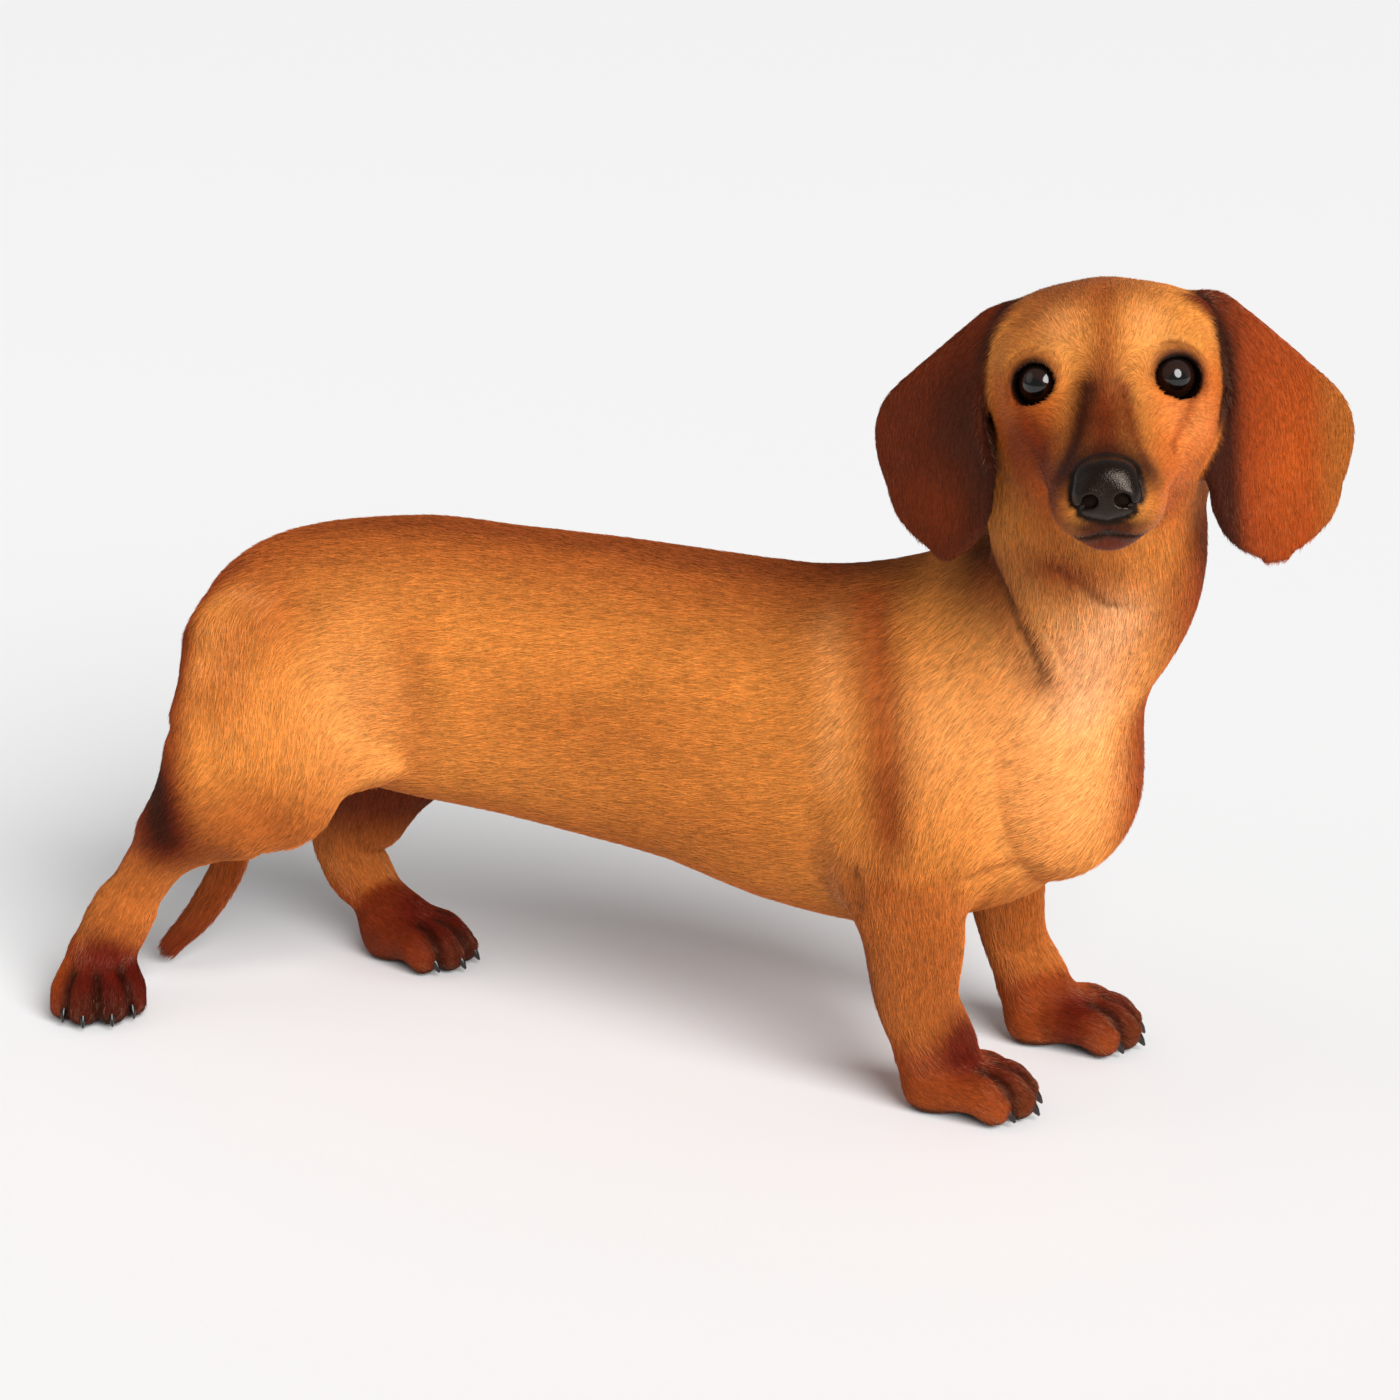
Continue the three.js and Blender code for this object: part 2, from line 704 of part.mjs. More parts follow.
// Paws and legs, cut off level.
const PAW_TOP = 24;
const ELBOW = 82;
const KNEE = 70;
const TAIL_CUT = 66;
const PAW_CELL = 6;
const LEG_CELL = 11;
const HOCK_CELL = 10.4;
const pawBoxes = {
  fore_right: { low: [80, -70, 0], high: [180, -4, PAW_TOP] },
  fore_left: { low: [96, 10, 0], high: [200, 76, PAW_TOP] },
  hind_right: { low: [-270, -100, 0], high: [-210, -30, PAW_TOP] },
  hind_left: { low: [-180, 14, 0], high: [-100, 76, PAW_TOP] },
};
const pawName = (place) => place.replace('_', '_paw_');
for (const [place, { low, high }] of Object.entries(pawBoxes)) {
  addFlesh(pawName(place), low, high, PAW_CELL, darkFur);
}
const LEG_FOOT = PAW_TOP + CUT_GAP;
addFlesh('fore_leg_right', [66, -80, LEG_FOOT], [136, -22, ELBOW], LEG_CELL, fur);
addFlesh('fore_leg_left', [80, 20, LEG_FOOT], [150, 76, ELBOW], LEG_CELL, fur);
addFlesh('hind_leg_right', [-268, -80, LEG_FOOT], [-110, -22, KNEE], HOCK_CELL, fur);
addFlesh('hind_leg_left', [-200, 18, LEG_FOOT], [-100, 76, KNEE], LEG_CELL, fur);
addFlesh('tail_tip', [-262, -16, 0], [-196, 20, TAIL_CUT], 7.2, fur);
addFlesh('tail_base', [-262, -8, TAIL_CUT + CUT_GAP], [-219, 22, 140], 7.6, fur);
addFlesh('thigh_right', [-250, -80, KNEE + CUT_GAP], [-110, -26, 136], 15, fur);
addFlesh('thigh_left', [-240, 26, KNEE + CUT_GAP], [-100, 80, 136], 15, fur);

// Neck and trunk.
addFlesh('neck', [0, -WIDE, -WIDE], [WIDE, WIDE, WIDE], 14.5, paleFur, neckMatrix);
addFlesh('chest', [30, -WIDE, 0], [WIDE, WIDE, WIDE], 19.5, fur);
addFlesh('barrel', [-100, -WIDE, 0], [30 - CUT_GAP, WIDE, WIDE], 22.5, fur);
addFlesh('hindquarters', [-WIDE, -WIDE, 0], [-100 - CUT_GAP, WIDE, WIDE], 18, fur);

// Eyeballs sit in sockets of their own size, open between the lids.
const LID_OPENING = { radius: 7.8, ahead: 9 };
for (const [name, side] of [['eye_right', -1], ['eye_left', 1]]) {
  const ball = (radius, ahead) => {
    const [x, y, z] = add(EYE, facing, ahead);
    const sphere = new THREE.SphereGeometry(radius, 12, 8);
    return solidOfGeometry(sphere.translate(...head.place([x, y * side, z])));
  };
  const socket = ball(EYE_RADIUS + CUT_GAP, 0).add(ball(LID_OPENING.radius, LID_OPENING.ahead));
  keep('head', parts.get('head').solid.subtract(socket), fur);
  keep(name, ball(EYE_RADIUS, 0), eyeGloss);
}

// Ears and claws stop just short of the coat that they grow from.
const ROOT_CLEARANCE = 0.6;
const clearOf = (box, cell) => fieldSolid(box, cell, (p) => coat(p, ROOT_CLEARANCE));
const skull = clearOf({ low: [-90, -62, -80], high: [20, 62, 50], matrix: head.matrix }, 6);
const flaps = {
  ear_right: earFlap(-1, { flare: 3.2, broader: 4.5, shorter: 6, turnedBack: 53 }),
  ear_left: earFlap(1, { flare: -1.5, broader: 1, shorter: 0, turnedBack: 40.5 }),
};
for (const [name, flap] of Object.entries(flaps)) keep(name, flap.subtract(skull), darkFur);
for (const [place, box] of Object.entries(pawBoxes)) {
  const clear = clearOf(box, PAW_CELL);
  paws[place].claws.forEach((spot, i) => {
    keep(`claw_${place}_${i + 1}`, claw(paws[place], spot).subtract(clear), horn);
  });
}

// ---- the scene graph --------------------------------------------------------------------------------------

const SHORTEST_EDGE = 0.12;

// The faces of a closed surface, with each edge that a cut left too short drawn in to a point.
function tidyFaces({ vertProperties, triVerts }) {
  const at = (v) => vertProperties.subarray(3 * v, 3 * v + 3);
  const corners = (f) => [...triVerts.subarray(3 * f, 3 * f + 3)];
  const faces = Array.from({ length: triVerts.length / 3 }, (_, f) => corners(f));
  const touching = Array.from({ length: vertProperties.length / 3 }, () => new Set());
  faces.forEach((face, f) => face.forEach((v) => touching[v].add(f)));
  const neighbours = (v) => new Set([...touching[v]].flatMap((f) => faces[f]));
  const drawIn = (a, b) => {
    const beyond = neighbours(b);
    if ([...neighbours(a)].filter((v) => beyond.has(v)).length !== 4) return false; // a, b and two others
    for (const f of [...touching[b]]) {
      touching[b].delete(f);
      if (faces[f].includes(a)) {
        faces[f].forEach((v) => touching[v].delete(f));
        faces[f] = null;
      } else {
        faces[f] = faces[f].map((v) => (v === b ? a : v));
        touching[a].add(f);
      }
    }
    return true;
  };
  let drawn = true;
  while (drawn) {
    drawn = false;
    for (let f = 0; f < faces.length; f++) {
      for (let k = 0; k < 3 && faces[f]; k++) {
        const [a, b] = [faces[f][k], faces[f][(k + 1) % 3]];
        if (Math.hypot(...add(at(a), at(b), -1)) < SHORTEST_EDGE && drawIn(a, b)) drawn = true;
      }
    }
  }
  return faces.filter(Boolean);
}

function meshOf(name, { solid, material }) {
  const surface = solid.getMesh();
  const geometry = new THREE.BufferGeometry();
  geometry.setAttribute('position', new THREE.BufferAttribute(surface.vertProperties, 3));
  geometry.setIndex(tidyFaces(surface).flat());
  geometry.computeVertexNormals();
  const mesh = new THREE.Mesh(geometry, material);
  mesh.name = name;
  return mesh;
}

const dog = new THREE.Group();
dog.position.set(...CENTRING);
for (const [name, part] of parts) dog.add(meshOf(name, part));

export default dog;
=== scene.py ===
"""A standing smooth-haired miniature dachshund, life size: skin, coat, eyes, nose and claws.

The body is one smooth field, in millimetres: oval sections swept along curves and run into each other. The
skin is the surface of that field, and the coat is short flat tufts that follow the lie of the hair.
"""

import math

import bmesh
import bpy
import numpy as np
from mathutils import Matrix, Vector


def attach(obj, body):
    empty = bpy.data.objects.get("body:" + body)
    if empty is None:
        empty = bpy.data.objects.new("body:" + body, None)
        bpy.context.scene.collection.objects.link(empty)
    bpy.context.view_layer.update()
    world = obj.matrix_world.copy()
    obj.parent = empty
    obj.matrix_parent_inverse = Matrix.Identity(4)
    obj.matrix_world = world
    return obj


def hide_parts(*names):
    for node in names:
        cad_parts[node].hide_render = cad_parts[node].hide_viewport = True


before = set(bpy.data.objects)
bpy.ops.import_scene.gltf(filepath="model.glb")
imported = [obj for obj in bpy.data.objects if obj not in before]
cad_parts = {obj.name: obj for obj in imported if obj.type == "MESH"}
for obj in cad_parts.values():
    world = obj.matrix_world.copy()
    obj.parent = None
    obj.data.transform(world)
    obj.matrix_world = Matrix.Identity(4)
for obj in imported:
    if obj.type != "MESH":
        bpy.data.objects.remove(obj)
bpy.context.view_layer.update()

MM = 0.001
# From the body's own zero, between the shoulders and the rump, to the middle of the box round it.
CENTRING = np.array([6.5, 33.3, 0.0])
BODY = "root"


# ---- numbers and vectors -------------------------------------------------------------------------


def unit(v):
    v = np.asarray(v, float)
    return v / np.maximum(np.linalg.norm(v, axis=-1, keepdims=True), 1e-9)


def dot(a, b):
    return np.sum(a * b, axis=-1)


def ease(a, b, x):
    """0 where x is at a, 1 where it is at b, smooth between; a may be the larger."""
    t = np.clip((x - a) / (b - a), 0, 1)
    return t * t * (3 - 2 * t)


def spot(p, centre, radii):
    """1 at the centre, fading over the radii."""
    return np.exp(-np.sum(((p - np.asarray(centre)) / np.asarray(radii, float)) ** 2, axis=1))


def spline(rows, steps):
    """A smooth curve through the rows, with `steps` samples a span."""
    rows = np.asarray(rows, float)
    ends = [2 * rows[0] - rows[1]], [2 * rows[-1] - rows[-2]]
    q = np.vstack([ends[0], rows, ends[1]])
    t = (np.arange(steps) / steps)[:, None]
    out = []
    for p0, p1, p2, p3 in zip(q, q[1:], q[2:], q[3:]):
        bend = 2 * p0 - 5 * p1 + 4 * p2 - p3
        twist = 3 * p1 - p0 - 3 * p2 + p3
        out.append(0.5 * (2 * p1 + (p2 - p0) * t + bend * t**2 + twist * t**3))
    return np.vstack([*out, rows[-1:]])


def turn(yaw=0.0, roll=0.0):
    """Rows are the turned x (forward), y (left) and z (up) axes; angles in degrees."""
    cy, sy = math.cos(math.radians(yaw)), math.sin(math.radians(yaw))
    cr, sr = math.cos(math.radians(roll)), math.sin(math.radians(roll))
    return np.array([[1, 0, 0], [0, cr, sr], [0, -sr, cr]]) @ np.array([[cy, sy, 0], [-sy, cy, 0], [0, 0, 1]])


def across(*yaws):
    """Directions across the body where it faces these angles off straight ahead."""
    return [[-math.sin(math.radians(a)), math.cos(math.radians(a)), 0] for a in yaws]


# ---- shapes as fields: below zero inside ---------------------------------------------------------

FAR = 60.0
REACH = 32.0  # beyond this the box round a shape stands in for it; more than any blending width


def blend(a, b, k):
    """Smooth union over a width k."""
    h = np.maximum(k - np.abs(a - b), 0) / k
    return np.minimum(a, b) - h * h * k / 4


def carve(a, b, k):
    """a with b cut out of it, its edge rounded over a width k."""
    return -blend(-a, b, k)


def oval_distance(q, radii):
    k0 = np.linalg.norm(q / radii, axis=1)
    k1 = np.linalg.norm(q / radii**2, axis=1)
    return k0 * (k0 - 1) / np.maximum(k1, 1e-4)


class Shape:
    """What all shapes share: a blending width k, a box, and the hair that grows on them."""

    def finish(self, low, high, k, region, hair, lie):
        self.low, self.high, self.k = np.asarray(low), np.asarray(high), k
        self.region, self.hair, self.lie = region, hair, lie

    def near(self, p, reach):
        return np.all((p > self.low - reach) & (p < self.high + reach), axis=1)

    def box_gap(self, p):
        return np.linalg.norm(np.maximum(np.maximum(self.low - p, p - self.high), 0), axis=1)


class Sweep(Shape):
    """Oval sections along a curve. A row is x, y, z, half-width along `side`, half-depth across it.

    With `cup` the sections are those of a flat sheet that curls by so much."""

    def __init__(self, rows, side, k=8.0, caps=None, cup=None, region="body", hair=8.0, lie=1.0):
        steps = 10
        s = spline(rows, steps)
        self.c, self.a, self.b = s[:, :3], s[:, 3], s[:, 4]
        self.t = unit(np.gradient(self.c, axis=0))
        side = np.asarray(side, float)
        side = spline(side, steps) if side.ndim == 2 else side
        self.u = unit(side - np.sum(side * self.t, 1, keepdims=True) * self.t)
        self.v = np.cross(self.t, self.u)
        step = np.linalg.norm(np.diff(self.c, axis=0), axis=1)
        self.back, self.ahead = np.append(step[0], step), np.append(step, step[-1])
        self.caps = caps or (min(self.a[0], self.b[0]), min(self.a[-1], self.b[-1]))
        self.cup = cup
        r = np.maximum(np.maximum(self.a, self.b), max(self.caps))[:, None]
        self.finish((self.c - r).min(0), (self.c + r).max(0), k, region, hair, lie)

    def station(self, p):
        """The nearest place on the curve: its sample, the share on to the next, and their sum."""
        i = (np.sum(self.c**2, 1) - 2 * p @ self.c.T).argmin(1)
        along = dot(p - self.c[i], self.t[i])
        f = i + along / np.where(along > 0, self.ahead[i], self.back[i])
        f = np.clip(f, np.maximum(i - 0.5, 0), np.minimum(i + 0.5, len(self.c) - 1))
        i = np.minimum(f.astype(int), len(self.c) - 2)
        return i, (f - i)[:, None], f

    def __call__(self, p):
        i, w, f = self.station(p)

        def at(values):
            return values[i] * (1 - w) + values[i + 1] * w

        q = p - at(self.c)
        a, b = at(self.a[:, None])[:, 0], at(self.b[:, None])[:, 0]
        x, y = dot(q, at(self.u)), dot(q, at(self.v))
        end = f >= len(self.c) - 1
        z = np.where(f <= 0, np.minimum(q @ self.t[0], 0), np.where(end, np.maximum(q @ self.t[-1], 0), 0))
        if self.cup is not None:
            edge = np.maximum(np.abs(x) - np.maximum(a - b, 0), 0)
            return np.sqrt(edge**2 + (y - self.cup * x * x) ** 2 + z * z) - b
        cap = np.where(end, self.caps[1], self.caps[0])
        return oval_distance(np.stack([x, y, z], 1), np.stack([a, b, cap], 1))

    def flow(self, p):
        i, w, _ = self.station(p)
        return self.lie * (self.t[i] * (1 - w) + self.t[i + 1] * w)


class Blob(Shape):
    """An ellipsoid; axes has its own x, y and z directions as rows."""

    def __init__(self, centre, radii, axes=None, k=8.0, region="body", hair=8.0, lie=(-1, 0, 0)):
        self.c, self.r = np.asarray(centre, float), np.asarray(radii, float)
        self.axes = np.eye(3) if axes is None else axes
        self.finish(self.c - self.r.max(), self.c + self.r.max(), k, region, hair, np.asarray(lie, float))

    def __call__(self, p):
        return oval_distance((p - self.c) @ self.axes.T, self.r)

    def flow(self, p):
        return np.broadcast_to(self.lie, p.shape)


class Crease:
    """A soft groove along a curve, or a ridge where the depth is negative."""

    def __init__(self, points, depth, width):
        self.c, self.depth, self.width = spline(points, 8), depth, width
        self.low, self.high = self.c.min(0) - 3 * width, self.c.max(0) + 3 * width
        ends = np.linspace(0, 1, len(self.c))
        self.fade = np.sqrt(np.clip(np.minimum(ends, 1 - ends) * 5, 0, 1))

    def press(self, p):
        """How deep the groove is at p, and where that is more than nothing."""
        near = np.all((p > self.low) & (p < self.high), axis=1)
        q = p[near]
        gap = np.sum(self.c**2, 1) - 2 * q @ self.c.T + np.sum(q * q, 1)[:, None]
        i = gap.argmin(1)
        return near, np.exp(-gap[np.arange(len(q)), i] / self.width**2) * self.fade[i]


class Group:
    """Shapes in a frame of their own. A mirrored group has a right half like its left."""

    def __init__(self, shapes, origin=(0, 0, 0), axes=None, mirrored=False, creases=(), cuts=()):
        self.shapes, self.creases, self.cuts, self.mirrored = shapes, creases, cuts, mirrored
        self.origin = np.asarray(origin, float)
        self.axes = np.eye(3) if axes is None else axes

    def local(self, p):
        q = (p - self.origin) @ self.axes.T
        if self.mirrored:
            q[:, 1] = np.abs(q[:, 1])
        return q

    def place(self, q):
        return np.asarray(q, float) @ self.axes + self.origin

    def turned(self, v, p):
        """Directions v of the group's own frame, at the points p, in the body's."""
        if self.mirrored:
            right = (p - self.origin) @ self.axes[1] < 0
            v = np.where(right[:, None], v * [1, -1, 1], v)
        return v @ self.axes

    def join(self, p, d):
        q = self.local(p)
        for shape in self.shapes:
            near = shape.near(q, REACH)
            other = np.where(near, FAR, np.maximum(shape.box_gap(q), 1.0))
            if near.any():
                other[near] = shape(q[near])
            d = blend(d, other, shape.k)
        for cut in self.cuts:
            near = cut.near(q, cut.k + 10)
            if near.any():
                d[near] = carve(d[near], cut(q[near]), cut.k)
        for crease in self.creases:
            near, press = crease.press(q)
            d[near] += crease.depth * press
        return d


def slope(field, p, h=0.25):
    steps = np.eye(3) * h
    return np.stack([(field(p + e) - field(p - e)) / (2 * h) for e in steps], 1)


def settle(field, v, rounds, longest=1.0):
    """Moves points straight onto the surface."""
    for _ in range(rounds):
        d, g = field(v), slope(field, v)
        step = -(d / np.maximum(dot(g, g), 0.05))[:, None] * g
        size = np.linalg.norm(step, axis=1, keepdims=True)
        v = v + step * np.minimum(1, longest / np.maximum(size, 1e-9))
    return v


def drawn_on(group, points):
    """Points of a curve, in the group's own frame, moved onto the surface of its shapes."""

    def on_shapes(p):
        return group.join(p, np.full(len(p), FAR))

    return group.local(settle(on_shapes, group.place(spline(points, 3)), 8, longest=3.0))


# ---- the body ------------------------------------------------------------------------------------

LATERAL = [0, 1, 0]

trunk = Sweep(
    [
        (-189, 2, 132.5, 36, 38.5),
        (-165, 2, 144.5, 44.5, 49),
        (-120, 2, 146.5, 45, 56),
        (-80, 2, 144.5, 43, 57.5),
        (-40, 2, 141.5, 45, 59.5),
        (0, 2, 137.5, 48, 61.5),
        (45, 0, 131.5, 50, 66.5),
        (85, -4, 130, 50, 66),
        (118, -10, 131, 46, 54),
        (142, -15, 134, 38, 41),
    ],
    across(0, 0, 0, 0, 0, 0, -3, -9, -14, -18),
    k=6,
    caps=(24, 33),
    region="trunk",
    hair=5.4,
    lie=-1,
)
neck = Sweep(
    [
        (90, -6, 148, 44, 50),
        (128, -12.5, 178, 40, 46),
        (157.5, -24, 211, 37.5, 38.5),
        (160.5, -41.5, 250, 37.5, 36),
        (160, -52, 284, 34, 31),
    ],
    across(-8, -14, -30, -60, -78),
    k=22,
    region="neck",
    hair=5.0,
    lie=-1,
)
tail = Sweep(
    [
        (-196, 3, 161, 13, 13),
        (-209, 6, 146, 11, 12),
        (-216.5, 8, 126, 9.5, 10.5),
        (-217, 9, 104, 8.5, 9.5),
        (-213, 8, 76, 7.6, 8.6),
        (-210.5, 7, 51, 6.2, 7.2),
        (-221, 3, 28, 5.4, 6.4),
        (-236, -3, 9, 3.8, 4.2),
    ],
    LATERAL,
    k=6,
    region="tail",
    hair=6,
)


def leg(rows, side=LATERAL, k=10.0, caps=None, hair=4.4):
    return Sweep(rows, side, k=k, caps=caps, region="leg", hair=hair)


hind_right = [
    leg([(-178, -24, 155, 24, 28), (-172.5, -37, 128, 17, 36),
         (-172, -42, 109, 14, 38), (-186, -44, 97, 11, 27)], k=14, caps=(18, 15), hair=5.4),  # thigh
    leg([(-182, -44, 90, 13, 20), (-209, -45, 72, 12, 13),
         (-224, -46, 53, 10.5, 10.5), (-234.5, -48, 36, 11, 11)]),  # shank
    leg([(-231, -47, 42, 10.5, 11), (-238, -50.5, 27, 11, 12), (-241, -54, 16, 12, 12)], k=7, hair=3.6),
    leg([(-188, -41, 138, 9, 10), (-195, -42, 122, 9.5, 10), (-197, -43, 108, 10, 11),
         (-202, -44, 95, 10, 11), (-211.5, -45, 78.5, 9.2, 9)], caps=(10, 6)),  # hamstring
    Blob((-133, -35, 113), (17, 9, 10), k=12, region="trunk", hair=5.4),  # fold of the flank
]  # fmt: skip
hind_left = [
    leg([(-176, 24, 156, 25, 30), (-166, 36, 124, 17, 37),
         (-158, 42, 100, 14, 34), (-155, 43, 85, 12, 32)], k=14, caps=(18, 18), hair=5.4),  # thigh
    leg([(-160, 44, 88, 13, 28), (-170, 45, 64, 12, 23),
         (-176, 45.5, 46, 10, 15.5), (-170, 45.5, 32, 9.5, 12.5)]),  # shank
    leg([(-172, 45.5, 36, 9, 12), (-161, 44, 23, 10, 10.5), (-149, 41, 14, 12, 10)], k=7, hair=3.6),
]  # fmt: skip
fore_right = leg(
    [
        (90, -30, 150, 24, 34),
        (95, -39, 122, 19, 31),
        (95, -43, 96, 16.5, 24),
        (98.8, -42, 73, 14.5, 20.3),
        (99.3, -37, 47, 12.5, 16.3),
        (105.5, -33, 28, 12.5, 15.5),
    ],
    across(-10, -12, -12, -12, -8, 0),
    k=12,
)
fore_left = leg(
    [
        (104, 24, 150, 24, 34),
        (110, 36, 122, 18, 28),
        (108, 42, 96, 15, 21),
        (111, 43, 72, 13, 17),
        (115.5, 43.5, 46, 11, 13),
        (122, 46.5, 28, 11.5, 13.5),
    ],
    across(-10, -12, -12, -8, 4, 10),
    k=12,
)

# Where the skin folds, on the body.
NECK_FOLD = [(124, -44, 222), (131, -52, 213), (137, -55.5, 203), (144, -56.5, 192), (149, -55, 180)]
THROAT_FOLD = [(150, -68, 228), (158, -70, 223), (166, -67, 217), (172, -62, 212), (181, -54, 213)]
SHOULDER_FOLD = [(81, -22, 201), (84, -41, 186), (94, -58, 152), (94, -60, 122), (98, -60, 102)]
body_creases = [
    Crease(NECK_FOLD, 1.9, 2.8),
    Crease([(148, -57, 203), (154, -56, 192), (156, -53, 183)], 0.9, 2.6),  # beside it
    Crease(THROAT_FOLD, 1.1, 3.4),
    Crease(SHOULDER_FOLD, 1.6, 6.0),
    Crease([(116, -50, 85), (119, -51, 97), (128, -45, 102), (148, -42, 107)], 1.6, 3.2),  # armpit
    Crease([(80, -55, 104), (82, -53, 82)], 1.4, 4.0),  # elbow
    Crease([(-106, -40, 161), (-103, -42, 146), (-98, -40, 128), (-84, -30, 104)], 1.2, 10.0),  # flank
    Crease([(-189, -48, 139), (-183, -53, 121), (-184, -58, 97)], 1.3, 7.0),  # hamstring
    Crease([(112, 34, 41), (119, 32.5, 41), (129, 36, 43)], 0.9, 2.4),  # left wrist
]

flesh = Group([trunk, neck, *hind_right, *hind_left, tail, fore_right, fore_left], creases=body_creases)

# A paw points along +x: two long toes between two short ones, over the pads. y, reach and splay of each:
TOES = ((5.6, 19, 3), (-5.6, 19, -3), (13.2, 11.5, 10), (-13.2, 11.5, -10))
PAW_LENGTH, PAW_WIDTH = 42, 33
PAD_PRESS = 0.6


def make_paw(origin, yaw, length, width, heel):
    s, w = length / PAW_LENGTH, width / PAW_WIDTH
    fur = {"region": "paw", "hair": 2.8}
    instep = [
        (-13 * s - heel, 0, 20, 11 * w, 11),
        (-3 * s - heel / 2, 0, 13.5, 14 * w, 11.5),
        (5 * s, 0, 10.5, 14 * w, 9.5),
    ]
    shapes = [
        Sweep(instep, LATERAL, k=10, caps=(9, 8), **fur),
        Blob((-12 * s - heel, 0, 8.5), (10 * s, 11 * w, 9.5), k=8, lie=(1, 0, 0), **fur),
    ]
    claws = []
    for y, reach, splay in TOES:
        y, tip, drift = y * w, reach * s, math.tan(math.radians(splay)) * 12
        rows = [
            (tip - 20 * s, 0.72 * y, 14, 5.2, 6.5),
            (tip - 8 * s, y - drift * 0.2, 12.4, 6.3, 7.6),
            (tip - 1.5 * s, y + drift * 0.2, 7.6, 6, 6.6),
        ]
        shapes.append(Sweep(rows, LATERAL, k=3.4, caps=(6, 5.2), **fur))
        claws.append((np.array([tip, y + drift * 0.25, 8.6]), splay))
    paw = Group(shapes, (*origin, -PAD_PRESS), turn(yaw))
    paw.claws = claws
    paw.gaps = []
    for across_by in (-1, 0, 1):  # between the toes
        y, back = 9.6 * w * across_by, 4.5 * s * abs(across_by)
        line = [
            (9 * s - back, 0.95 * y, 21),
            (13.5 * s - back, y, 18),
            (18 * s - back, y, 13),
            (19.5 * s - back, y, 4),
        ]
        paw.gaps.append(drawn_on(paw, line))
    paw.creases = [Crease(line, 1.3, 1.5) for line in paw.gaps]
    return paw


paws = {
    "fore_right": make_paw((119.5, -30), 9, length=46, width=31, heel=1),
    "fore_left": make_paw((142.5, 48), 12, length=45, width=35, heel=5),
    "hind_right": make_paw((-239, -57), -62, length=40, width=31.5, heel=0),
    "hind_left": make_paw((-140, 38), -6, length=44, width=31, heel=2),
}

# ---- the head: x forward, y left, z up from the point midway between the eyes --------------------

HEAD_AT = (172, -79, 292)
HEAD_TURN = turn(-78, 4.5)
EYE = np.array([-5.0, 20.7, 0])
EYE_RADIUS = 9.2
GAZE = turn(18)  # the left eye looks outward
HALF_OPENING = (9.6, 8.8)  # of the lids, across and up


def round_the_eye(angles, across_by, up_by, ahead):
    """Points on an oval round the left eye, `ahead` of its middle."""
    a = np.radians(angles)
    oval = np.stack([np.full(len(a), float(ahead)), across_by * np.cos(a), up_by * np.sin(a)], 1)
    return oval @ GAZE + EYE


def lid(first, ahead, thickness):
    """A rim over the upper or the lower half of the eye, from the angle `first` on."""
    rim = round_the_eye(np.arange(first, first + 221, 20), *HALF_OPENING, ahead)
    rows = np.hstack([rim, np.full((len(rim), 2), thickness)])
    return Sweep(rows, [1, 0, 0], k=3.5, caps=(1.5, 1.5), region="lid", hair=1.2)


BACKWARD = (-1, 0, -0.15)
face = {"region": "head", "hair": 2.8}
muzzle = Sweep(
    [
        (-20, 0, -15, 30, 26),
        (0, 0, -19.5, 27, 21),
        (16, 0, -23.5, 23, 17.5),
        (34, 0, -26.5, 18.5, 15),
        (47, 0, -28, 15, 13.5),
    ],
    LATERAL,
    k=12,
    caps=(10, 8),
    region="muzzle",
    hair=2.0,
    lie=-1,
)
jaw = Sweep(
    [(-22, 0, -42, 23, 12), (4, 0, -42, 16, 9.5), (28, 0, -42, 10.5, 7), (41, 0, -42, 8, 5)],
    LATERAL,
    k=4,
    caps=(10, 6),
    region="muzzle",
    hair=2.4,
    lie=-1,
)
MOUTH = [
    (52, 0, -39), (50, 6.5, -39.6), (46, 11, -40.3), (37, 14.5, -40.6),
    (25, 16.5, -41), (12, 20, -42.5), (3, 24, -45),
]  # fmt: skip
TEAR_FOLD = [(3, 11.5, -3), (6, 13, -9), (8, 17, -17), (6, 21, -25)]
LIP_FOLD = [(29, 16, -13), (33, 18.5, -20), (32, 19, -28), (36, 16.5, -36)]
EAR_FRONT = [(-31, 30, 25), (-26, 34, 18), (-22, 38, 10), (-20, 39, 0), (-17, 39, -10), (-9, 37, -17)]
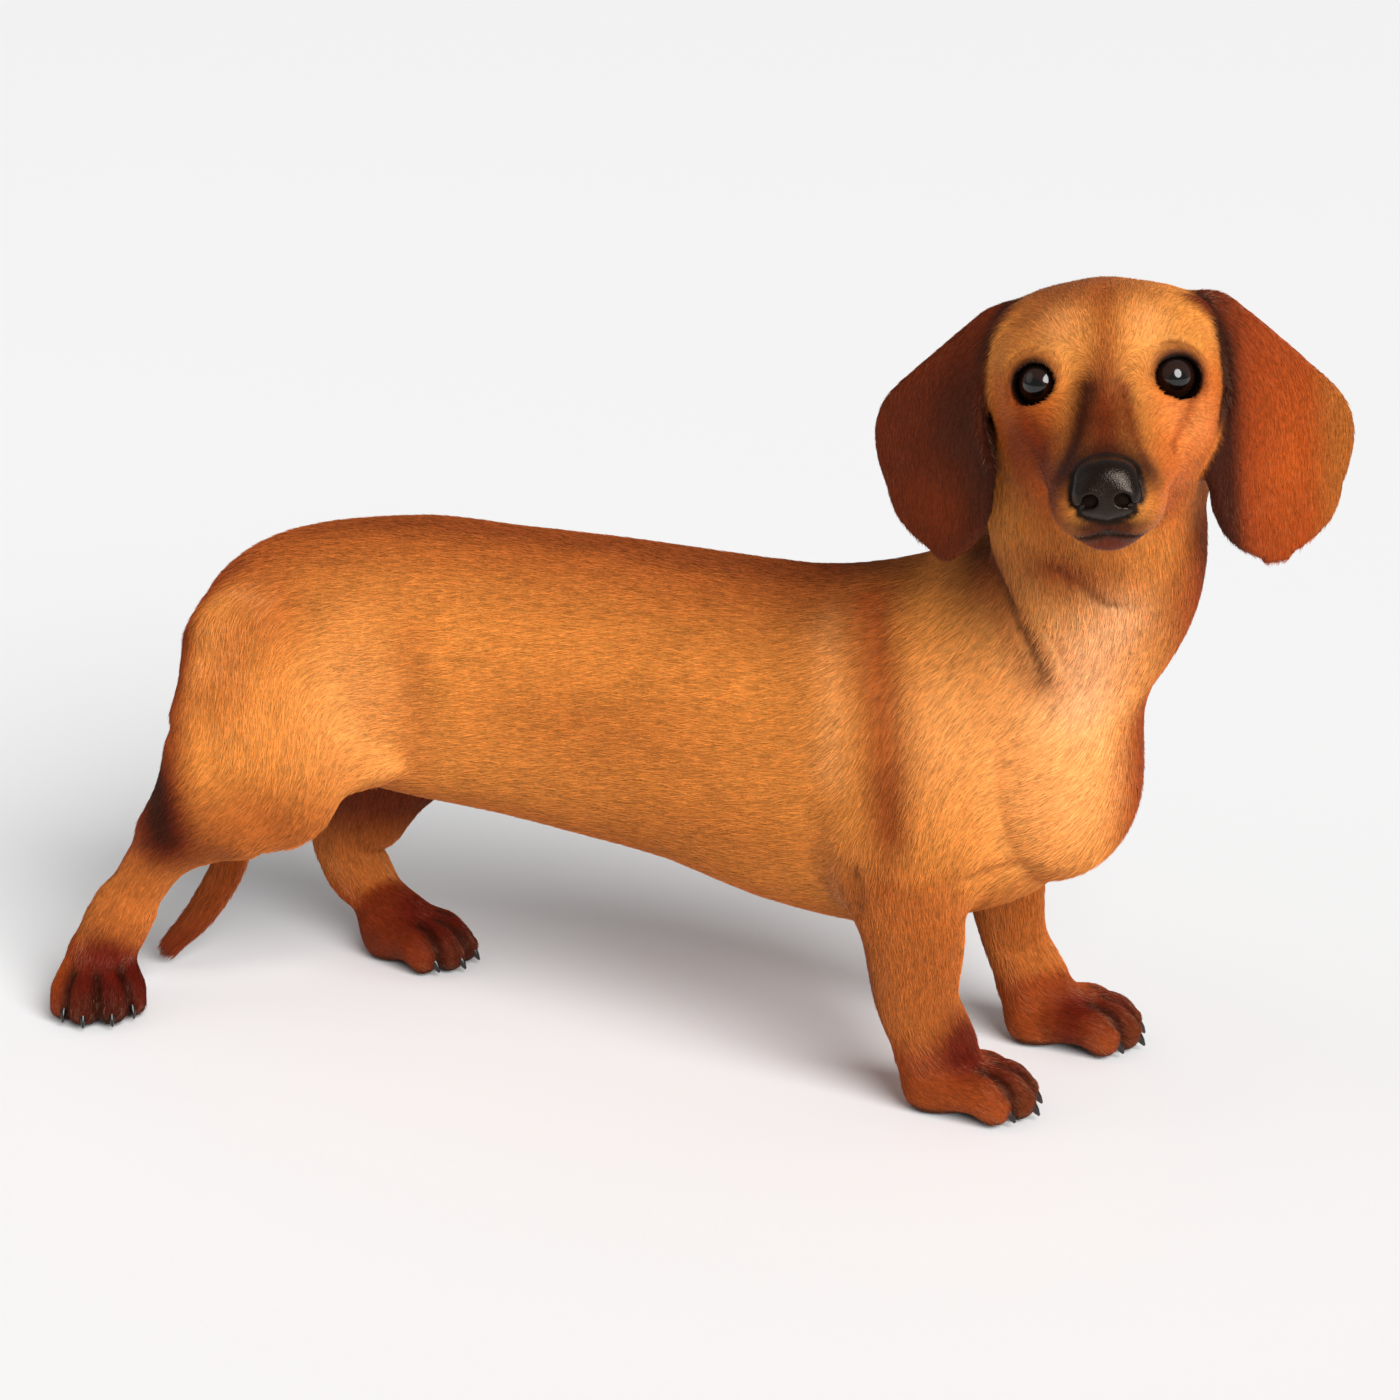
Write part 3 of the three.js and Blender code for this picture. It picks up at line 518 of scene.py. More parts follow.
head = Group(
    [
        Blob((-34, 0, -1.5), (37, 34, 30), k=10, lie=BACKWARD, **face),  # braincase
        Blob((-31, 21, 8), (23, 16, 15), k=10, lie=BACKWARD, **face),  # corner of the skull
        Blob((-16, 0, 0), (24, 30, 22), k=12, lie=(-1, 0, 0.2), **face),  # forehead
        Blob((-14, 23.5, -14), (24, 12.5, 20), k=12, lie=(-1, 0.2, -0.5), **face),  # cheek
        Blob((-32, 0, -29), (34, 33.5, 27), k=14, lie=(-0.8, 0, -0.7), **face),  # root of the jaw
        muzzle,
        Blob((39, 7.5, -32), (15.5, 10, 10.6), k=7, region="muzzle", hair=2.0),  # upper lip
        jaw,
        lid(-20, ahead=4.6, thickness=1.9),
        lid(160, ahead=4.2, thickness=1.6),
    ],
    HEAD_AT,
    HEAD_TURN,
    mirrored=True,
    creases=[
        Crease(MOUTH, 1.6, 1.3),
        Crease(TEAR_FOLD, 0.9, 1.5),
        Crease(LIP_FOLD, 0.7, 1.6),
        Crease(EAR_FRONT, 1.6, 2.2),
        Crease(round_the_eye(np.arange(20, 171, 25), 12.9, 12.0, 3.3), 0.7, 1.3),  # above the upper lid
        Crease(round_the_eye(np.arange(200, 341, 28), 13.0, 12.0, 2.8), 0.6, 1.5),  # under the lower lid
        Crease([(4, 0, 6), (-8, 0, 19), (-22, 0, 29)], 1.0, 4.0),  # furrow of the forehead
    ],
    cuts=[
        Blob(EYE + np.array([8.5, 0, 0]) @ GAZE, (7.6, 8.5, 7.7), GAZE, k=1.4),
        Blob(EYE, (EYE_RADIUS + 0.1,) * 3, k=0.5),
    ],
)

# Each row of an ear: x, y, z, half its width and half its thickness.
EAR_ROWS = (
    (-26, 20, 16, 9, 5),
    (-29, 33, 17, 9, 3.8),
    (-30, 42, 9, 10.5, 3.0),
    (-30, 51.8, -9, 19, 2.4),
    (-31, 55.5, -27, 31.8, 2.2),
    (-30, 55.5, -45, 29, 2.1),
    (-29.5, 55.8, -51, 27.2, 2.1),
    (-29, 56, -57, 24.3, 2.1),
    (-28.7, 56, -61, 20.6, 2.1),
    (-28.4, 56, -65, 15.0, 2.1),
    (-28.1, 56, -69, 6.0, 2.1),
)


def make_ear(side, flare, broader, shorter, turned_back):
    """A flap whose tip is carried out by `flare`, its back edge turned outward by `turned_back`."""
    rows = np.array(EAR_ROWS, float)
    t = (rows[0, 2] - rows[:, 2]) / (rows[0, 2] - rows[-1, 2])
    rows[:, 1] = (rows[:, 1] + flare * t) * side
    rows[:, 2] += shorter * t
    rows[:, 3] += broader * np.sin(np.pi * t)
    back = math.radians(turned_back)
    broadside = [-math.sin(back), side * math.cos(back), 0]
    flap = Sweep(rows, broadside, k=5, caps=(5, 2), cup=0.003 * side, region="ear", hair=2.6)
    return Group([flap], HEAD_AT, HEAD_TURN)


ears = {"left": make_ear(1, -1.5, 1, 0, 40.5), "right": make_ear(-1, 3.2, 4.5, 6, 53)}
groups = [flesh, *paws.values(), head, *ears.values()]


def body_field(p, chunk=60000):
    out = []
    for i in range(0, len(p), chunk):
        q = p[i : i + chunk]
        d = np.full(len(q), FAR)
        for group in groups:
            d = group.join(q, d)
        out.append(carve(d, q[:, 2], 2.5))
    return np.concatenate(out)


# The nose pad: a rounded block with two wings, a comma-shaped nostril in each and a groove between them.
nose = Group(
    [
        Blob((51.5, 0, -25.5), (7.2, 10.0, 9.4), k=2),
        Blob((53.5, 5.8, -26.5), (5.6, 5.0, 5.9), k=3.5),
        Blob((49.5, 0, -19.8), (7.5, 9.4, 5.0), k=4),
    ],
    HEAD_AT,
    HEAD_TURN,
    mirrored=True,
    creases=[
        Crease([(61, 0, -24), (60.5, 0, -29), (58.5, 0, -34), (56, 0, -38)], 1.3, 0.9),
        Crease([(57, 8.2, -31.3), (54.5, 10.8, -29.8), (51, 12.2, -28.6), (47, 12.6, -28.2)], 1.3, 0.8),
    ],
    cuts=[
        Sweep(
            [(62, 4.6, -26.6, 2.3, 2.0), (57, 5.2, -26.8, 2.5, 2.2), (50, 5.2, -26.5, 2.0, 1.8)],
            LATERAL,
            k=1.4,
            caps=(2, 2),
        ),
        Sweep(
            [(60, 6.0, -27.6, 1.4, 1.2), (57.2, 8.6, -29.2, 1.2, 0.9), (54.6, 10.6, -29.3, 0.8, 0.6)],
            [0.5, 0.5, 0],
            k=1.0,
            caps=(1, 1),
        ),
    ],
)


def nose_field(p):
    return nose.join(p, np.full(len(p), FAR))


# ---- surface of a field --------------------------------------------------------------------------


def graded(*marks, end):
    """Grid lines from (start, spacing) marks up to the end."""
    starts = [m[0] for m in marks] + [end]
    spans = [np.arange(a, b, step) for (a, step), b in zip(marks, starts[1:])]
    return np.unique(np.concatenate([*spans, [end]]))


def crossed_blocks(field, axes, block=4):
    """Marks the grid points of every block that the surface may cross, and the coarse value elsewhere."""
    n = [len(a) for a in axes]
    coarse = [np.unique(np.append(np.arange(0, k, block), k - 1)) for k in n]
    spots = np.stack(np.meshgrid(*[a[c] for a, c in zip(axes, coarse)], indexing="ij"), -1)
    value = field(spots.reshape(-1, 3)).reshape(spots.shape[:3])
    corners = np.stack([
        value[i : value.shape[0] - 1 + i, j : value.shape[1] - 1 + j, k : value.shape[2] - 1 + k]
        for i in (0, 1) for j in (0, 1) for k in (0, 1)
    ])  # fmt: skip
    gx, gy, gz = [np.diff(a[c]) for a, c in zip(axes, coarse)]
    size = np.sqrt(gx[:, None, None] ** 2 + gy[None, :, None] ** 2 + gz[None, None, :] ** 2)
    crossed = (np.abs(corners).min(0) < 0.75 * size) | ((corners.min(0) < 0) & (corners.max(0) > 0))
    needed = np.zeros(n, bool)
    cx, cy, cz = coarse
    for i, j, k in zip(*np.nonzero(crossed)):
        needed[cx[i] : cx[i + 1] + 1, cy[j] : cy[j + 1] + 1, cz[k] : cz[k + 1] + 1] = True
    nearest = [np.searchsorted(c, np.arange(k), side="right") - 1 for c, k in zip(coarse, n)]
    return needed, value[np.ix_(*nearest)]


def surface_of(field, xs, ys, zs):
    """One vertex in each grid cell that the surface crosses, and a quad over each crossed grid line."""
    axes = (xs, ys, zs)
    n = [len(a) for a in axes]
    needed, value = crossed_blocks(field, axes)
    at = np.argwhere(needed)
    value[needed] = field(np.stack([a[at[:, k]] for k, a in enumerate(axes)], 1))
    inside = value < 0
    filled = sum(
        inside[i : n[0] - 1 + i, j : n[1] - 1 + j, k : n[2] - 1 + k].astype(np.int8)
        for i in (0, 1) for j in (0, 1) for k in (0, 1)
    )  # fmt: skip
    cells = np.argwhere((filled > 0) & (filled < 8))
    number = np.full(filled.shape, -1)
    number[tuple(cells.T)] = np.arange(len(cells))
    total, count = np.zeros((len(cells), 3)), np.zeros((len(cells), 1))
    for axis in range(3):
        others = [k for k in range(3) if k != axis]
        for shift in ((0, 0), (0, 1), (1, 0), (1, 1)):
            low = cells.copy()
            low[:, others] += shift
            high = low.copy()
            high[:, axis] += 1
            d0, d1 = value[tuple(low.T)], value[tuple(high.T)]
            m = (d0 < 0) != (d1 < 0)
            t = (d0[m] / (d0[m] - d1[m]))[:, None]
            p0, p1 = [np.stack([axes[k][c[m, k]] for k in range(3)], 1) for c in (low, high)]
            total[m] += p0 + (p1 - p0) * t
            count[m] += 1
    quads = []
    for axis in range(3):
        u, v = [(1, 2), (2, 0), (0, 1)][axis]
        edges = np.argwhere(np.diff(inside, axis=axis))
        on_u, on_v = edges[:, u], edges[:, v]
        edges = edges[(on_u > 0) & (on_v > 0) & (on_u < n[u] - 1) & (on_v < n[v] - 1)]
        ring = []
        for du, dv in ((-1, -1), (0, -1), (0, 0), (-1, 0)):
            cell = edges.copy()
            cell[:, u] += du
            cell[:, v] += dv
            ring.append(number[tuple(cell.T)])
        ring = np.stack(ring, 1)
        outward = inside[tuple(edges.T)]
        quads.append(np.where(outward[:, None], ring, ring[:, ::-1]))
    return total / count, np.vstack(quads)


def neighbour_sum(values, edges):
    """For each vertex, the sum of its neighbours' values."""
    a, b = edges.T
    n = len(values)
    return np.stack([np.bincount(a, v[b], n) + np.bincount(b, v[a], n) for v in values.T], 1)


def neighbour_count(values, edges):
    return np.maximum(np.bincount(edges.ravel(), minlength=len(values)), 1)[:, None]


def smoothed(values, edges, rounds):
    """Values on vertices, each drawn towards the mean of its neighbours."""
    count = neighbour_count(values, edges)
    for _ in range(rounds):
        values = 0.5 * values + 0.5 * neighbour_sum(values, edges) / count
    return values


# ---- meshes --------------------------------------------------------------------------------------


def placed(p):
    """Body millimetres to metres in the frame."""
    return (np.asarray(p) + CENTRING) * MM


def new_mesh(name, points, faces):
    mesh = bpy.data.meshes.new(name)
    mesh.from_pydata(np.asarray(points).tolist(), [], [list(map(int, f)) for f in faces])
    mesh.update()
    return mesh


def piece_of(name, mesh, material=None, slot=None, replaces=()):
    piece = bpy.data.objects.new(name, mesh)
    bpy.context.scene.collection.objects.link(piece)
    if material:
        mesh.materials.clear()
        mesh.materials.append(material)
    if slot:
        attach(piece, BODY)
        if replaces:
            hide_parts(*replaces)
    return piece


def points_of(mesh):
    out = np.empty(len(mesh.vertices) * 3)
    mesh.vertices.foreach_get("co", out)
    return out.reshape(-1, 3)


def edges_of(mesh):
    out = np.empty(len(mesh.edges) * 2, np.int32)
    mesh.edges.foreach_get("vertices", out)
    return out.reshape(-1, 2)


def store(mesh, name, values, kind="FLOAT", domain="POINT"):
    """Puts one value on each vertex (or face) of a mesh."""
    field = {"FLOAT": "value", "INT": "value", "FLOAT_VECTOR": "vector"}[kind]
    mesh.attributes.new(name, kind, domain).data.foreach_set(field, np.ascontiguousarray(values).ravel())


def shade_smooth(mesh):
    mesh.polygons.foreach_set("use_smooth", [True] * len(mesh.polygons))


def refine(mesh, chosen):
    """Halves the faces whose vertices are all chosen."""
    b = bmesh.new()
    b.from_mesh(mesh)
    edges = [e for e in b.edges if chosen[e.verts[0].index] and chosen[e.verts[1].index]]
    bmesh.ops.subdivide_edges(b, edges=edges, cuts=1, use_grid_fill=True)
    b.to_mesh(mesh)
    b.free()


# ---- the skin ------------------------------------------------------------------------------------


def make_skin():
    points, quads = surface_of(
        body_field,
        graded((-275, 2.6), (-100, 4.0), (80, 1.6), end=270),
        graded((-190, 1.6), (-30, 2.6), end=90),
        graded((-6, 2.0), (45, 3.6), (225, 1.6), end=345),
    )
    points = settle(body_field, points, 2)
    mesh = new_mesh("skin", points, quads)
    q = head.local(points)
    fine = np.linalg.norm(q - EYE, axis=1) < 15
    fine |= (np.abs(q[:, 2] + 41) < 7) & (q[:, 0] > 2) & (q[:, 1] < 30) & (np.abs(q[:, 0] - 30) < 34)
    fine |= (points[:, 2] < 20) & (points[:, 2] > 0.5)
    refine(mesh, fine)
    points = settle(body_field, points_of(mesh), 2, longest=0.5)
    mesh.vertices.foreach_set("co", points.ravel())
    mesh.update()
    return mesh, points


skin_mesh, skin_points = make_skin()

# ---- the plan of the coat ------------------------------------------------------------------------


def coat_plan(p, normals, edges):
    """The lie of the hair, its length, and the share that each region has, at points of the skin."""
    flow, length, total = np.zeros_like(p), np.zeros(len(p)), np.full(len(p), 1e-9)
    share = {}
    for group in groups:
        q = group.local(p)
        for shape in group.shapes:
            near = shape.near(q, 25)
            if not near.any():
                continue
            weight = np.exp(-np.maximum(shape(q[near]), 0) / 4)
            flow[near] += weight[:, None] * group.turned(shape.flow(q[near]), p[near])
            length[near] += weight * shape.hair
            total[near] += weight
            share.setdefault(shape.region, np.zeros(len(p)))[near] += weight
    flow[:, 2] -= 0.22 * total * ease(40, 120, p[:, 2])  # it droops down the sides
    flow = smoothed(unit(flow), edges, 12)
    flow = unit(flow - dot(flow, normals)[:, None] * normals)
    return flow, length / total, {region: s / total for region, s in share.items()}


def tone(code):
    """A colour written as on screen, in linear light."""
    c = np.array([int(code[i : i + 2], 16) for i in (0, 2, 4)]) / 255
    return np.where(c <= 0.04045, c / 12.92, ((c + 0.055) / 1.055) ** 2.4)


def line_gap(p, points):
    """Distance to a curve."""
    c = spline(points, 8)
    return np.sqrt(np.maximum(np.sum(c**2, 1) - 2 * p @ c.T + np.sum(p * p, 1)[:, None], 0).min(1))


def hollow_of(p, normals, edges):
    """How deep in a fold each point lies: its neighbours stand above it."""
    a, b = edges.T
    reach = np.bincount(a, np.linalg.norm(p[a] - p[b], axis=1), len(p)) + 1e-6
    spacing = reach / np.maximum(np.bincount(a, minlength=len(p)), 1)
    rise = dot(neighbour_sum(p, edges) / neighbour_count(p, edges) - p, normals)
    bend = rise / (spacing + 0.3)
    return ease(0.03, 0.16, smoothed(bend[:, None], edges, 2)[:, 0])


GOLD, SAND, HIGHLIGHT_CREAM = tone("df8e3f"), tone("fab26a"), tone("ffc088")
ORANGE, HIGHLIGHT_HONEY, RUST = tone("d4651e"), tone("b26c2a"), tone("973a12")
GARNET, CHESTNUT, UMBER, SOOT = tone("60140a"), tone("621a08"), tone("2a0a05"), tone("0b0605")


def along(p, points, width):
    """A soft band of this width along a curve: one on it, zero away from it."""
    return np.exp(-((line_gap(p, points) / width) ** 2))


class Colouring:
    """The colour of the coat at points of the skin, tint over tint, and how bare and black it is."""

    def __init__(self, p, normals, share):
        self.p, self.normals, self.share = p, normals, share
        self.colour = np.tile(GOLD, (len(p), 1))
        self.bare = np.zeros(len(p))

    def lay(self, tint, amount):
        amount = np.clip(amount, 0, 1)[:, None]
        self.colour = self.colour * (1 - amount) + tint * amount

    def uncover(self, amount):
        self.bare = np.maximum(self.bare, amount)

    def of(self, *regions):
        return sum(self.share.get(r, 0) for r in regions)

    def facing(self, direction, start, full):
        return ease(start, full, self.normals @ unit(np.array(direction, float)))


def right_half(p):
    """Which points are on the right of the head."""
    return (p - head.origin) @ head.axes[1] < 0


def colour_body(coat):
    p, lay, of, facing = coat.p, coat.lay, coat.of, coat.facing
    x, z = p[:, 0], p[:, 2]
    body = of("trunk", "neck")
    barrel = of("trunk") + 0.5 * of("neck")
    lay(SAND, 0.85 * spot(p, (158, -54, 172), (28, 34, 40)))  # chest and front of the neck
    lay(SAND, 0.5 * spot(p, (150, -30, 135), (24, 34, 36)))
    lay(SAND, 0.45 * spot(p, (112, -60, 158), (20, 30, 28)))  # shoulder
    lay(SAND, 0.35 * spot(p, (-126, -42, 138), (22, 30, 34)))  # before the thigh
    # painted highlight down the middle of the front of the neck
    lay(HIGHLIGHT_CREAM, 0.75 * along(p, [(174, -59, 205), (166, -55, 192), (163, -48, 172)], 13))
    lay(RUST, 0.45 * along(p, [(-160, -40, 170), (-176, -46, 158), (-182, -48, 140)], 16))  # hip
    lay(RUST, 0.35 * spot(p, (-160, -54, 100), (30, 30, 14)))
    # painted highlight in a band on the ribs behind the shoulder
    lay(SAND, 0.4 * along(p, [(64, -33, 188), (72, -51, 163), (72, -56, 138)], 8))
    lay(RUST, 0.4 * spot(p, (10, -50, 100), (80, 40, 22)))  # low on the side
    lay(RUST, 0.35 * spot(p, (-20, -50, 140), (60, 40, 20)))
    # The top of the body is darker: partly the coat's own darker back, partly painted shade where the light
    # grazes the top.
    lay(RUST, 0.4 * facing((0, 0, 1), 0.25, 0.75) * barrel)
    lay(RUST, 0.5 * facing((0, 0, 1), 0.6, 0.92) * barrel)
    lay(CHESTNUT, 0.55 * facing((0, 0, 1), 0.86, 1.0) * barrel * ease(-190, -150, x))  # spine
    lay(CHESTNUT, 0.5 * facing((0, 0, 1), 0.5, 0.95) * barrel * ease(20, 75, x))  # withers
    lay(RUST, 0.6 * facing((0, 0, -1), 0.4, 0.95) * of("trunk"))  # painted shade under the belly
    lay(RUST, 0.85 * facing((-1, -0.25, 0.35), 0.45, 0.9) * body * (x < -150))  # painted shade on the buttock, which faces away from the light
    lay(CHESTNUT, 0.6 * facing((-1, -0.15, 0.3), 0.5, 0.92) * body * (x < -150))
    lay(RUST, 0.9 * facing((0.94, 0.34, 0), 0.5, 0.95) * body)  # painted shade on the far side of the chest and neck, darker towards their edge
    lay(CHESTNUT, 0.35 * facing((0.94, 0.34, 0), 0.8, 1.0) * body)
    # painted shade in the fold behind the shoulder and down to the elbow
    shade_behind_shoulder = [(80, -29, 196), (88, -49, 172), (93, -58, 145), (95, -58, 119)]
    lay(RUST, 0.75 * along(p, shade_behind_shoulder, 10))
    lay(CHESTNUT, 0.35 * along(p, [(92, -57, 138), (94, -59, 118), (93, -59, 99)], 7))
    lay(RUST, 0.3 * along(p, [(-101, -40, 165), (-101, -40, 142), (-101, -35, 112)], 9))  # painted shade along the crease of the flank
    lay(RUST, 0.9 * ease(-186, -204, x) * ease(60, 85, z) * of("trunk", "leg"))  # painted shade along the rear edge
    # painted shade down the front edge of the neck
    lay(RUST, 0.6 * spot(p, (193, -40, 212), (10, 20, 26)))
    lay(GARNET, 0.55 * spot(p, (157, -69, 226), (12, 10, 8)))  # painted shadow on the throat, under the jaw
    lay(RUST, 0.6 * spot(p, (160, -68, 224), (26, 14, 10)))
    # painted shade in the fold of the throat
    lay(CHESTNUT, 0.7 * along(p, THROAT_FOLD, 2.6))
    lay(CHESTNUT, 0.75 * spot(p, (122, -44, 214), (18, 24, 17)))  # painted shadow of the ear on the neck
    lay(UMBER, 0.75 * spot(p, (120, -40, 222), (14, 20, 8)))
    # painted shade in the fold of the neck
    lay(RUST, 0.5 * along(p, NECK_FOLD, 7))
    lay(UMBER, 0.85 * along(p, NECK_FOLD, 2.4))


def colour_legs(coat):
    p, lay, of, facing = coat.p, coat.lay, coat.of, coat.facing
    x, y, z = p.T
    lay(RUST, 0.6 * of("leg") * ease(112, 84, z) * ease(-48, -58, x))
    lay(RUST, 0.65 * of("leg") * ease(118, 92, z) * (x > 0))
    lay(CHESTNUT, 0.75 * of("leg") * facing((-1, 0.1, 0), 0.45, 0.95))  # painted shade on the backs of the legs
    lay(RUST, 0.9 * np.clip(of("leg") * ease(40, 22, z) + ease(0.1, 0.6, of("paw")), 0, 1))
    # painted shadow behind the knee of the near hind leg
    hamstring = [(-209, -48, 101), (-207, -53, 91), (-205, -54, 81)]
    lay(CHESTNUT, 0.9 * np.clip(1.4 * along(p, hamstring, 13), 0, 1))  # painted shadow at the back of the thigh
    lay(CHESTNUT, 0.55 * along(p, [(-205, -54, 84), (-193, -53, 77), (-180, -51, 76)], 8))
    lay(UMBER, 0.95 * np.clip(1.3 * along(p, hamstring, 8), 0, 1))
    lay(CHESTNUT, 0.9 * of("leg") * ease(8, 24, y) * ease(-100, -110, x) * ease(38, 72, z))  # painted shadow on the far thigh


def colour_tail(coat):
    lay, of, z = coat.lay, coat.of, coat.p[:, 2]
    lay(RUST, 0.8 * of("tail"))
    lay(CHESTNUT, 0.5 * of("tail") * ease(70, 25, z))
    lay(GARNET, 0.6 * of("tail") * ease(30, 10, z))


# Where the hair of each paw is darkest, in the paw's own frame.
DARK_OF_PAW = {
    "fore_right": (-3, -7, 30),
    "fore_left": (-1, -10, 14),
    "hind_right": (1, 4, 24),
    "hind_left": (2, -2, 22),
}


def colour_paws(coat):
    p, lay, of, z = coat.p, coat.lay, coat.of, coat.p[:, 2]
    for place, paw in paws.items():
        foot = paw.local(p)
        mine = ease(0.1, 0.6, of("paw")) * (np.linalg.norm(foot, axis=1) < 60)
        if place == "hind_right":
            lay(GARNET, 0.9 * mine)
            lay(UMBER, 0.55 * mine * ease(-6, 4, foot[:, 1]))
            lay(ORANGE, 0.75 * spot(foot, (-6, -14, 16), (18, 9, 12)))
        elif place == "hind_left":
            lay(GARNET, 0.6 * mine)
        lay(GARNET, 0.95 * np.clip(1.5 * spot(foot, DARK_OF_PAW[place], (13, 11, 14)), 0, 1))
        lay(GARNET, 0.9 * np.clip(1.5 * spot(foot, (12, 2, 15), (11, 16, 11)), 0, 1))
        lay(UMBER, 0.6 * mine * ease(13, 23, foot[:, 0]))  # tips of the toes
        # painted shade in the gaps between the toes
        for gap in paw.gaps:
            lay(UMBER, 0.95 * along(foot, gap, 3.0))
    lay(SOOT, 0.85 * of("paw") * ease(5.5, 2, z))
    coat.uncover(of("paw") * ease(2.5, 0.8, z))


def colour_head(coat):
    p, lay, of = coat.p, coat.lay, coat.of
    q = head.local(p)
    hx, hy, hz = q.T
    right = right_half(p)
    front = np.clip(of("head", "muzzle", "lid"), 0, 1)
    lay(ORANGE, 0.8 * front * ease(8, 22, hy) * ease(12, -4, hz))  # cheek
    # painted shade on the right of the face, the side away from the light
    lay(RUST, 0.6 * front * right * ease(10, 24, hy) * ease(2, -16, hz))
    lay(RUST, 0.6 * right * spot(q, (-18, 22, 14), (16, 9, 12)))  # painted shade beside the right eye
    lay(RUST, 0.3 * right * spot(q, (-20, 14, 25), (16, 12, 9)))
    lay(SAND, 0.5 * spot(q, (-6, 13, 17), (12, 8, 9)))  # painted highlight over the eyes
    # painted light on the left cheek
    lay(SAND, 0.4 * ~right * spot(q, (4, 24, -14), (14, 10, 10)))
    lay(RUST, 0.6 * front * ease(20, 31, hz))  # top of the skull
    lay(RUST, 0.6 * front * np.exp(-((hy / 5.0) ** 2)) * ease(-40, -16, hx))  # middle of the forehead
    stripe = np.exp(-((hy / (8 + 0.14 * np.clip(hx, 0, 50))) ** 2))
    lay(CHESTNUT, 0.85 * front * stripe * ease(0, 18, hx) * ease(-33, -24, hz))  # bridge
    side_of_bridge = [(12, 5.5, 0), (17, 7, -6), (28, 8.5, -11), (36, 10, -15), (44, 12, -20)]
    # painted shade along the right edge of the bridge, the side away from the light; the left has only the
    # fainter line
    lay(CHESTNUT, 0.7 * along(q, side_of_bridge, 6.5) * right)
    lay(UMBER, 0.92 * along(q, side_of_bridge, 3.4) * right)
    lay(CHESTNUT, 0.75 * along(q, side_of_bridge, 2.6) * ~right)
    lay(UMBER, 0.85 * front * ease(32, 48, hx) * ease(-30, -20, hz))  # round the nose
    # painted shade under the right eye and down the right cheek
    shade_under_right_eye = [(11, 25, -12), (20, 20, -20), (34, 18, -28), (46, 16, -30)]
    lay(CHESTNUT, 0.8 * front * right * along(q, shade_under_right_eye, 7))
    lay(CHESTNUT, 0.6 * front * right * along(q, [(7, 30, -20), (-4, 32, -36)], 8))
    lay(UMBER, 0.95 * np.clip(1.4 * spot(q, (54, 0, -36.5), (9, 13, 4.5)), 0, 1))  # lip under the nose
    lay(RUST, 0.7 * front * ease(-34, -44, hz) * ease(-30, 10, hx))  # chin and jaw
    lay(CHESTNUT, 0.85 * front * ease(-39, -42.5, hz) * ease(10, 30, hx))
    # painted shade in the folds under the eyes, on the cheeks and beside the lips
    lay(CHESTNUT, 0.7 * front * along(q, TEAR_FOLD, 1.6))
    lay(RUST, 0.7 * front * along(q, [(6, 28, -5), (13, 25, -12), (20, 21, -19)], 2.0))  # painted shade in the cheek fold
    lay(RUST, 0.7 * front * along(q, LIP_FOLD, 1.5))
    eye_gap = np.linalg.norm(q - EYE - np.array([4, 0, 0]) @ GAZE, axis=1)
    lay(CHESTNUT, 0.7 * front * ease(14, 10.2, eye_gap))
    lay(UMBER, 0.9 * front * ease(11.2, 9.6, eye_gap))
    coat.uncover(ease(9.9, 8.7, eye_gap) * ease(0.1, 0.5, front))
    mouth_gap = line_gap(q, MOUTH)
    lay(UMBER, 0.85 * front * ease(4.2, 1.8, mouth_gap) * ease(12, 26, hx))
    coat.uncover(ease(2.0, 1.1, mouth_gap) * front * ease(12, 26, hx))
    coat.uncover(ease(2.0, 0.8, nose_field(p)) * front)
    coat.uncover(ease(1.25, 0.9, np.linalg.norm((q - [50, 0, -26]) / [10, 9, 8], axis=1)))


def colour_ears(coat):
    p, lay, of = coat.p, coat.lay, coat.of
    q = head.local(p)
    hx, hy, hz = q.T
    right = right_half(p)
    ear = ease(0.3, 0.55, of("ear"))
    lay(CHESTNUT, 0.97 * ear)
    # painted light on the left ear, with a painted highlight on its outer rim
    lay(RUST, 0.95 * ear * ~right * ease(38, 50, hy))
    lay(ORANGE, 0.4 * ear * ~right * spot(q, (-28, 62, -36), (30, 14, 36)))
    lay(HIGHLIGHT_HONEY, 0.6 * ear * ~right * ease(64, 78, hy))
    # painted shade on the right ear, with a painted highlight low on its flap
    lay(UMBER, 0.6 * ear * right * ease(30, -8, hz) * ease(-44, -24, hx))
    lay(RUST, 0.6 * right * ear * spot(q, (-28, 56, -48), (20, 20, 18)))
    # painted shade where the ears hang against the head, and along the fold of their front edge
    lay(UMBER, 0.85 * ear * ease(46, 39, hy) * ease(16, 4, hz))
    lay(UMBER, 0.92 * np.clip(1.5 * along(q, EAR_FRONT, 3.0), 0, 1))


def markings(p, normals, share, hollow):
    """The colour of the coat with painted shade in its folds, and where the skin is bare and black, at points
    of the skin.
    """
    coat = Colouring(p, normals, share)
    for part in (colour_body, colour_legs, colour_tail, colour_paws, colour_head, colour_ears):
        part(coat)
    # painted shade in the folds and hollows of the skin
    coat.lay(UMBER, 0.5 * hollow)
    return coat.colour, coat.bare


skin_edges = edges_of(skin_mesh)
skin_normals = unit(slope(body_field, skin_points))
lie, hair_length, share = coat_plan(skin_points, skin_normals, skin_edges)
colour, bare = markings(skin_points, skin_normals, share, hollow_of(skin_points, skin_normals, skin_edges))

